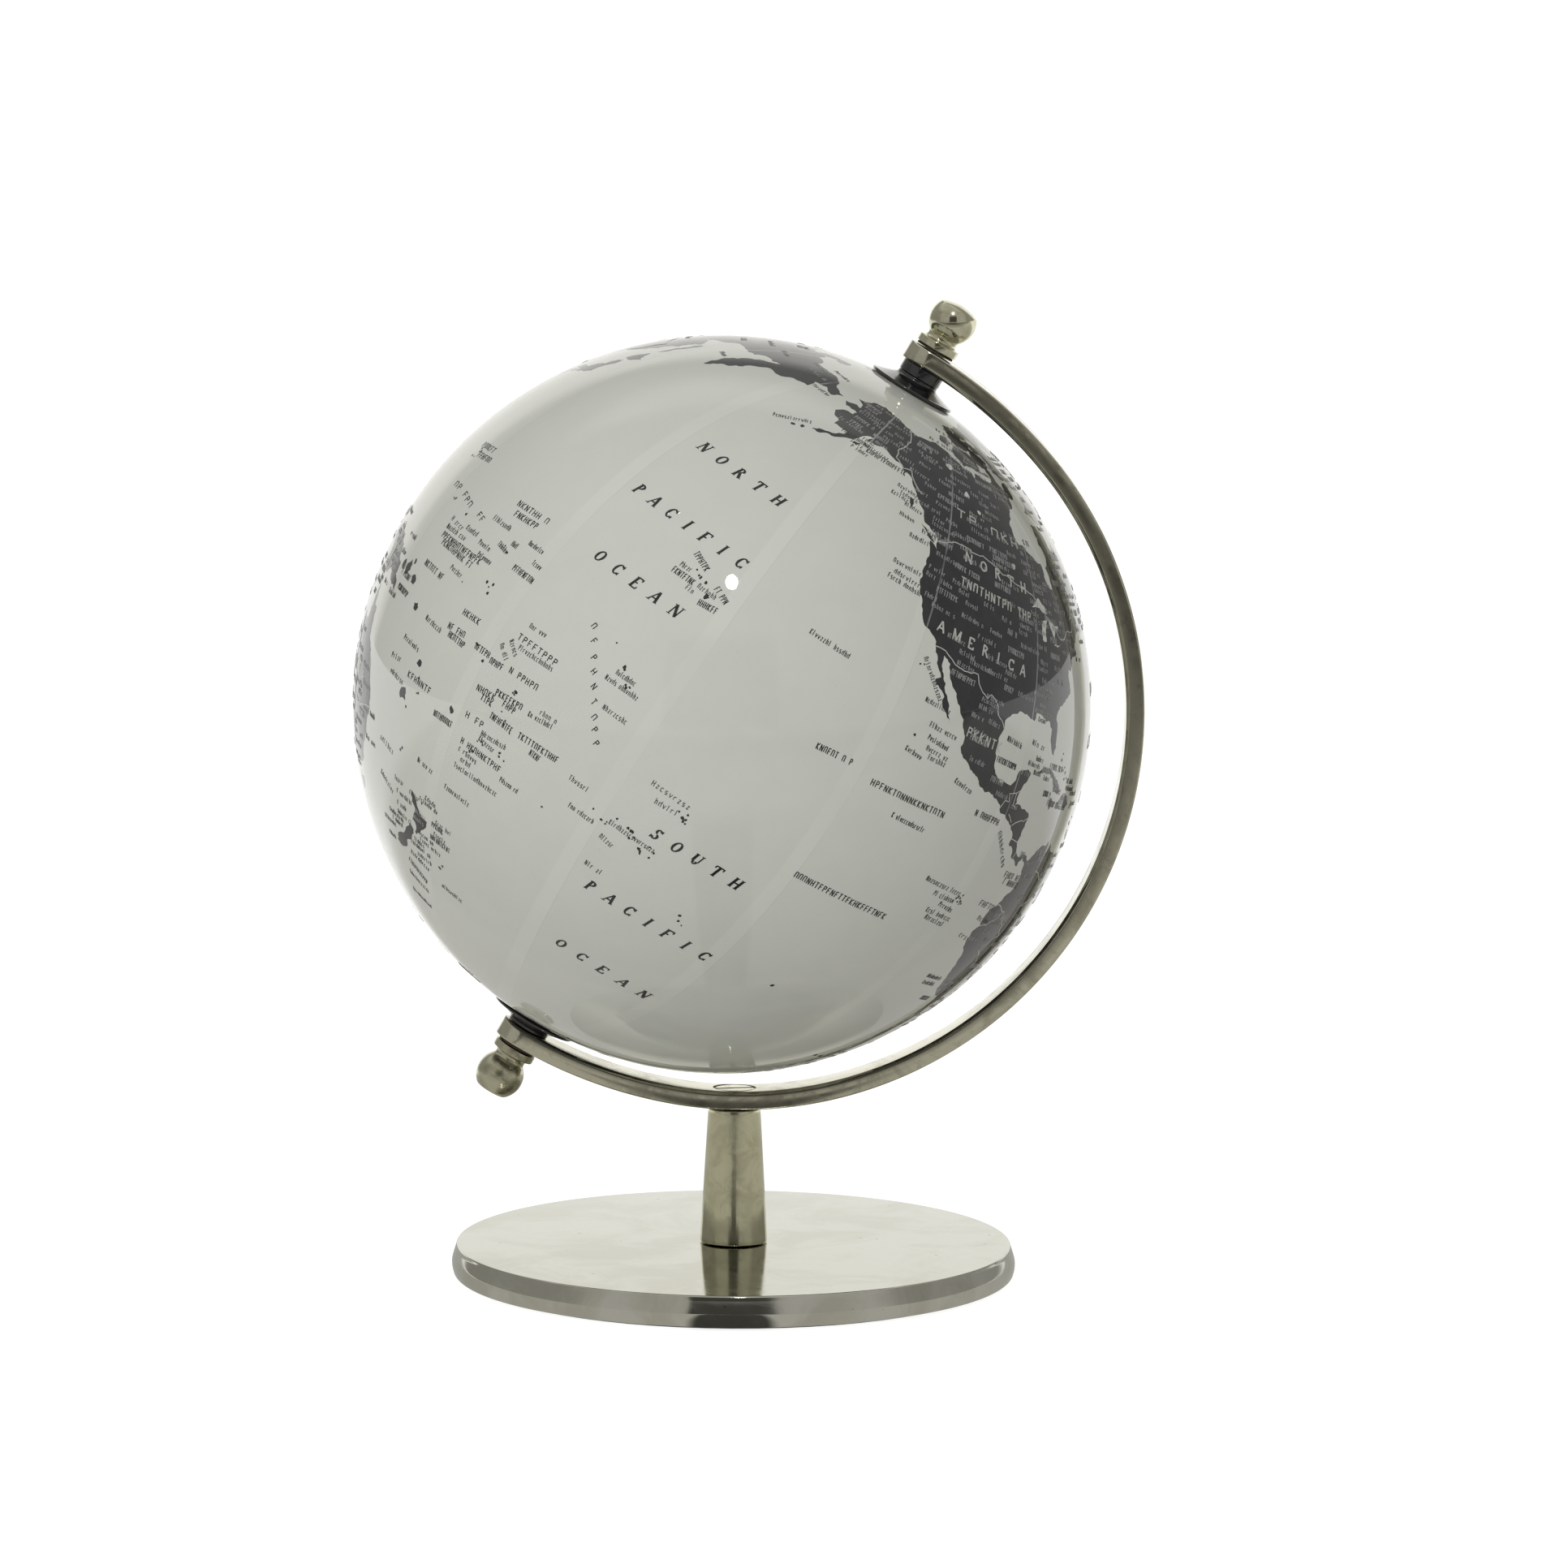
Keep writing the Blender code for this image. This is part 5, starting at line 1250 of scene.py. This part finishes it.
def knob_profile(crown_start, top):
    """Collar, waist and ball, with a flatter crown from crown_start degrees up."""
    collar = KNOB_SEAT + KNOB_COLLAR
    profile = [(0.0, KNOB_BORE_END), (ROD_BORE, KNOB_BORE_END), (ROD_BORE, KNOB_SEAT)]
    profile += arc(KNOB_COLLAR_RADIUS - 0.25, KNOB_SEAT + 0.25, 0.25, -90, 0, 4)
    profile += arc(KNOB_COLLAR_RADIUS - 0.25, collar - 0.25, 0.25, 0, 90, 4)
    profile += [(5.05, collar + 0.02)]
    profile += curve((4.95, collar + 0.1), (4.2, collar + 0.35), (4.05, collar + 1.5),
                     (4.7, KNOB_CENTRE - 4.49), 12)
    profile += arc(0.0, KNOB_CENTRE, KNOB_RADIUS, -41, crown_start, 26)
    r, z = profile[-1]
    profile += curve((r, z), (r - 0.46, z + 0.28), (0.58 * r, top - 0.15), (0.0, top), 12)[1:]
    return profile


def bush_profile():
    """Thin lip on the globe, glossy cone up to the hub, and the neck through the pole hole."""
    def on_ball(r):
        return math.sqrt(BALL_MM ** 2 - r * r) + 0.12

    edge = on_ball(LIP_RADIUS)
    cone_top = edge + 2.75
    profile = [(ROD_BORE, HUB_TOP)] + arc(HUB_RADIUS - 0.3, HUB_TOP - 0.3, 0.3, 90, 0, 4)
    profile += curve((HUB_RADIUS, cone_top + 0.5), (6.0, cone_top + 0.15), (6.3, cone_top - 0.05),
                     (6.9, cone_top - 0.3), 8)
    profile += curve((6.9, cone_top - 0.3), (8.6, cone_top - 0.95), (10.4, edge + 1.3),
                     (11.6, edge + 0.98), 8)[1:]
    profile += arc(LIP_RADIUS - 0.45, edge + 0.53, 0.45, 75, -60, 8)
    profile += [(r, on_ball(r)) for r in np.linspace(11.6, NECK_RADIUS, 8)]
    profile += [(NECK_RADIUS, NECK_END), (ROD_BORE, NECK_END)]
    return profile


def mirrored(profile, side):
    return [(radius, side * height) for radius, height in profile]


def base_profile():
    """Rounded upper edge, a rim that flares a little, a rolled foot, and the recess under the middle."""
    foot, top = (corner.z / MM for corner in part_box("base_disc"))
    profile = [(STEM_BORE, top)] + arc(75.1, top - 0.6, 0.6, 90, 14, 8)
    profile += curve((75.75, top - 0.9), (76.2, top - 2.2), (76.9, top - 4.2), (76.9, 4.6), 8)
    profile += curve((76.9, 4.2), (76.9, 3.2), (76.75, 2.6), (76.55, foot + 1.1), 6)[1:]
    profile += curve((76.5, foot + 0.8), (76.3, foot + 0.3), (75.9, foot), (75.3, foot), 6)
    return profile + [(FELT_RECESS[0], foot), FELT_RECESS, (STEM_BORE, FELT_RECESS[1])]


def stem_profile():
    """The tapered post, with a blind hole at each end for the screws."""
    low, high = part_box("stem")
    foot, top = low.z / MM, high.z / MM
    wide, narrow = (high.x - low.x) / 2 / MM, 7.15
    inner = foot + STEM_BORE_DEPTH
    profile = [(0.0, inner), (STEM_BORE, inner), (STEM_BORE, foot), (wide - 0.3, foot)]
    profile += arc(wide - 0.3, foot + 0.3, 0.3, -80, 0, 4)[1:]
    profile += [(wide - (wide - narrow) * s, foot + 0.5 + (top - foot - 1.0) * s)
                for s in (0.02, 0.35, 0.7, 0.98)]
    profile += arc(narrow - 0.45, top - 0.45, 0.45, 5, 90, 5)
    inner = top - STEM_BORE_DEPTH
    return profile + [(STEM_BORE, top), (STEM_BORE, inner), (0.0, inner)]


def paint(node, material):
    thing = frame["nodes"][node]
    for slot in thing.material_slots:
        slot.material = material


# ---- the object -----------------------------------------------------------------------------------------

def build_object():
    knob_axis = (AXLE_MIDDLE, AXIS)
    upright = (Vector((0.0, 0.0, 0.0)), Vector((0.0, 0.0, 1.0)))
    base = cast_nickel()
    bar = bar_nickel()
    knob_bright = turned_nickel("nickel_plate_knob", (0.64, 0.62, 0.46), (0.52, 0.5, 0.36), (0.06, 0.15),
                                knob_axis)
    # The lower knob's copy: its darker colours are painted shade for the knob that hangs under the ball, and
    # its film is rougher
    knob_shaded_rough = turned_nickel("nickel_plate_knob_shaded_rough", (0.56, 0.54, 0.4), (0.42, 0.4, 0.29), (0.18, 0.34),
                              knob_axis)
    stem = turned_nickel("nickel_plate_stem", (0.64, 0.62, 0.44), (0.54, 0.52, 0.36), (0.1, 0.2), upright)
    steel, black, washer = plain_steel(), black_gloss(), fibre()

    lathe("base_disc_plate", base_profile(), 192, Matrix.Identity(4), "stand", base,
          ["base_disc"])
    lathe("stem_taper", stem_profile(), 96, Matrix.Identity(4), "stand", stem, ["stem"])
    make_arm(bar)
    make_screw(stem)
    # The lower knob takes the darker copy, whose colour is painted shade
    for end, side, look, crown, top in (("upper", 1.0, knob_bright, 32, 124.55),
                                        ("lower", -1.0, knob_shaded_rough, 48, 125.1)):
        lathe("knob_ball_" + end, mirrored(knob_profile(crown, top), side), 96, AXLE, "stand",
              look, ["knob_" + end])
    for end, side in (("north", 1.0), ("south", -1.0)):
        lathe("bush_cone_" + end, mirrored(bush_profile(), side), 96, BALL, "globe", black,
              ["pole_bush_" + end])
    spacer_low = HUB_TOP - (BALL_MIDDLE - AXLE_MIDDLE).length / MM + 0.1
    spacer = [(ROD_BORE, spacer_low)] + arc(5.8, spacer_low + 0.2, 0.2, -90, 0, 4)
    spacer += arc(5.8, TAB_OUTER - BAR_THICK - 0.3, 0.2, 0, 90, 4) + [(ROD_BORE, TAB_OUTER - BAR_THICK - 0.1)]
    lathe("spacer_ring", spacer, 96, AXLE, "stand", black, ["pole_spacer"])
    # The knob washers' dark colour also stands in as painted shade for the gap under the knobs' collars
    for node, look in (("base_felt", felt()), ("base_screw", steel), ("base_washer", steel),
                       ("axle_rod", steel), ("knob_washer_upper", washer), ("knob_washer_lower", washer),
                       ("joining_ring", moulded_grey()), ("axle_tube", moulded_grey())):
        paint(node, look)
    make_globe(sea_print(), land_print(), moulded_grey())
    make_ink(ink("ink_dark", (0.014, 0.014, 0.015), (0.06, 0.06, 0.057), 0.4),
             ink("ink_light", (0.5, 0.5, 0.47), (0.3, 0.3, 0.28), 0.6),
             ink("ink_faint", (0.3, 0.3, 0.3), (0.16, 0.16, 0.16), 0.7))


# ---- studio ---------------------------------------------------------------------------------------------

CAMERA_TARGET = Vector((12.94, 0.0, 135.74)) * MM
CAMERA_DISTANCE = 2.2085
CAMERA_ELEVATION = math.radians(7.84)
CAMERA_ROLL = math.radians(0.377)
CAMERA_LENS = 187.0

# The table as the lacquer sees it: metres towards the viewer, and how bright it looks there
TABLE_LIGHT = ((0.3, 0.5), (0.45, 0.54), (0.56, 0.4), (0.85, 0.33), (1.15, 0.19), (1.5, 0.08),
               (2.2, 0.06), (5.0, 0.3))
TABLE_SIDE = 0.12                   # added out to the sides
TABLE_REACH, TABLE_BACK, TABLE_HEIGHT = 30.0, 0.4, 0.0008
TABLE_SHADE = 0.88                  # how dark the viewer's own reflection is on the table
TABLE_SHADE_SLOPE = 0.15            # its half width for each metre towards the viewer

FLOOR_SIZE = 40.0
FLOOR_GLOW = 0.85

# The backdrop begins where a direction leans this far away from the viewer, and the part of it that curves
# over the globe begins where it leans this far
BACK_EDGE, SWEEP_EDGE = (0.76, 0.86), (0.32, 0.46)
SWEEP_TOP = (0.72, 0.85)            # sine of elevation, as are the next three
TOP_EDGE = (0.55, 0.8)
BOX_EDGE = (0.55, 0.7)
GAP_TOP = (0.42, 0.5)
BOX_SIDE, GAP_SIDE = (1.0, 1.3), (0.3, 0.33)        # radians either side of the viewer
GAP_SHADE = 0.86
FRONT_LIGHT, TOP_LIGHT, BOX_LIGHT, BACK_LIGHT = 0.33, 0.55, 0.14, 1.12

KEY_PLACE, KEY_POWER, KEY_SIZE = (0.07, -1.08, 1.2), 2.6, (0.09, 0.12)
FILL_PLACE, FILL_POWER, FILL_SIZE = (-0.75, -1.9, 0.6), 17.5, 1.3


def make_camera():
    camera = bpy.data.objects.new("camera", bpy.data.cameras.new("camera"))
    camera.data.lens = CAMERA_LENS
    camera.data.sensor_width = 36.0
    camera.data.clip_start, camera.data.clip_end = 0.05, 60.0
    ahead = Vector((0.0, math.cos(CAMERA_ELEVATION), -math.sin(CAMERA_ELEVATION)))
    right = Vector((1.0, 0.0, 0.0))
    up = right.cross(ahead)
    c, s = math.cos(CAMERA_ROLL), math.sin(CAMERA_ROLL)
    right, up = right * c + up * s, up * c - right * s
    turn = Matrix((right, up, -ahead)).transposed().to_4x4()
    camera.matrix_world = Matrix.Translation(CAMERA_TARGET - ahead * CAMERA_DISTANCE) @ turn
    bpy.context.scene.collection.objects.link(camera)
    bpy.context.scene.camera = camera


def make_table():
    """What the lacquer and the plate see of the table: greyer than the white floor, and only from above."""
    material = bpy.data.materials.new("table")
    material.use_nodes = True
    material.node_tree.nodes.clear()
    f = Patterns(material.node_tree, "Object")
    split = f.tree.nodes.new("ShaderNodeSeparateXYZ")
    f.put(split.inputs[0], f.where)
    ahead = f.times(split.outputs[1], -1.0)
    light = TABLE_LIGHT[0][1]
    for (start, _), (end, value) in zip(TABLE_LIGHT, TABLE_LIGHT[1:]):
        step = f.between(ahead, start, end)
        light = f.blend(light, value, step)
    aside = f.between(f.maths("ABSOLUTE", split.outputs[0]), 0.5, 1.3, 0.0, TABLE_SIDE)
    light = f.plus(light, aside)
    edge = f.minus(f.maths("ABSOLUTE", split.outputs[0]), f.times(ahead, TABLE_SHADE_SLOPE))
    shade = f.times(f.between(edge, -0.002, 0.002, TABLE_SHADE, 0.0),
                    f.between(ahead, 0.3, 0.4, 1.0, 0.0))
    light = f.times(light, f.minus(1.0, shade))
    glow = f.tree.nodes.new("ShaderNodeEmission")
    glow.inputs["Color"].default_value = (1.0, 0.985, 0.93, 1.0)
    f.put(glow.inputs["Strength"], light)
    clear = f.tree.nodes.new("ShaderNodeMixShader")
    faded = f.between(ahead, -0.38, -0.2, 1.0, 0.0)
    below = f.tree.nodes.new("ShaderNodeNewGeometry").outputs["Backfacing"]
    f.put(clear.inputs[0], f.maths("MAXIMUM", faded, below))
    f.put(clear.inputs[1], glow.outputs[0])
    f.put(clear.inputs[2], f.tree.nodes.new("ShaderNodeBsdfTransparent").outputs[0])
    out = f.tree.nodes.new("ShaderNodeOutputMaterial")
    f.put(out.inputs[0], clear.outputs[0])
    corners = [(x, y, TABLE_HEIGHT) for x, y in ((-TABLE_REACH, -TABLE_REACH), (TABLE_REACH, -TABLE_REACH),
                                                 (TABLE_REACH, TABLE_BACK), (-TABLE_REACH, TABLE_BACK))]
    table = place("table", mesh_from("table", corners, [(0, 1, 2, 3)]), [material])
    table.visible_camera = table.visible_shadow = table.visible_transmission = False


def make_floor():
    corners = [(x * FLOOR_SIZE, y * FLOOR_SIZE, 0.0) for x, y in ((-1, -1), (1, -1), (1, 1), (-1, 1))]
    f = Finish("floor_white", Roughness=0.9, Emission_Strength=FLOOR_GLOW)
    f.shader.inputs["Emission Color"].default_value = (1.0, 1.0, 0.995, 1.0)
    white = f.use(f.mix(f.noise(4.0), (0.44, 0.44, 0.435), (0.46, 0.46, 0.455)))
    place("floor", mesh_from("floor", corners, [(0, 1, 2, 3)]), [white])


def make_world():
    """A grey studio round the viewer, who stands in a darker gap, and a white backdrop behind the globe."""
    world = bpy.data.worlds.new("studio")
    world.use_nodes = True
    bpy.context.scene.world = world
    f = Patterns(world.node_tree, "Generated")
    split = f.tree.nodes.new("ShaderNodeSeparateXYZ")
    f.put(split.inputs[0], f.where)
    x, y, z = split.outputs
    away = f.maths("ABSOLUTE", f.maths("ARCTAN2", x, f.times(y, -1.0)))
    light = f.between(z, *TOP_EDGE, FRONT_LIGHT, TOP_LIGHT)
    box = f.times(f.between(away, *BOX_SIDE, 1.0, 0.0), f.between(z, *BOX_EDGE, 1.0, 0.0))
    light = f.plus(light, f.times(box, BOX_LIGHT))
    gap = f.times(f.between(away, *GAP_SIDE, 1.0, 0.0), f.between(z, *GAP_TOP, 1.0, 0.0))
    light = f.times(light, f.minus(1.0, f.times(gap, GAP_SHADE)))
    behind = f.maths("MAXIMUM", f.between(y, *BACK_EDGE),
                     f.times(f.between(y, *SWEEP_EDGE), f.between(z, *SWEEP_TOP)))
    light = f.blend(light, BACK_LIGHT, behind)
    light = f.blend(light, 1.0, f.tree.nodes.new("ShaderNodeLightPath").outputs["Is Camera Ray"])
    shine = f.tree.nodes["Background"]
    f.put(shine.inputs["Color"], (1.0, 0.992, 0.95))
    f.put(shine.inputs["Strength"], light)


def make_lamp(name, spot, power, shape, size):
    """An area lamp that faces the ball."""
    lamp = bpy.data.lights.new(name, "AREA")
    lamp.shape, lamp.size, lamp.energy = shape, size, power
    thing = bpy.data.objects.new(name, lamp)
    thing.location = Vector(spot)
    thing.rotation_euler = (thing.location - BALL_MIDDLE).to_track_quat("Z", "Y").to_euler()
    bpy.context.scene.collection.objects.link(thing)
    return thing


def make_lamps():
    """The small lamp that leaves a highlight on the lacquer and the knobs, and a broad soft fill."""
    key = make_lamp("key", KEY_PLACE, KEY_POWER, "ELLIPSE", KEY_SIZE[0])
    key.data.size_y = KEY_SIZE[1]
    fill = make_lamp("fill", FILL_PLACE, FILL_POWER, "DISK", FILL_SIZE)
    fill.visible_glossy = fill.visible_camera = False


build_object()
make_camera()
make_world()
make_floor()
make_lamps()
make_table()
bpy.context.scene.view_settings.view_transform = "Standard"
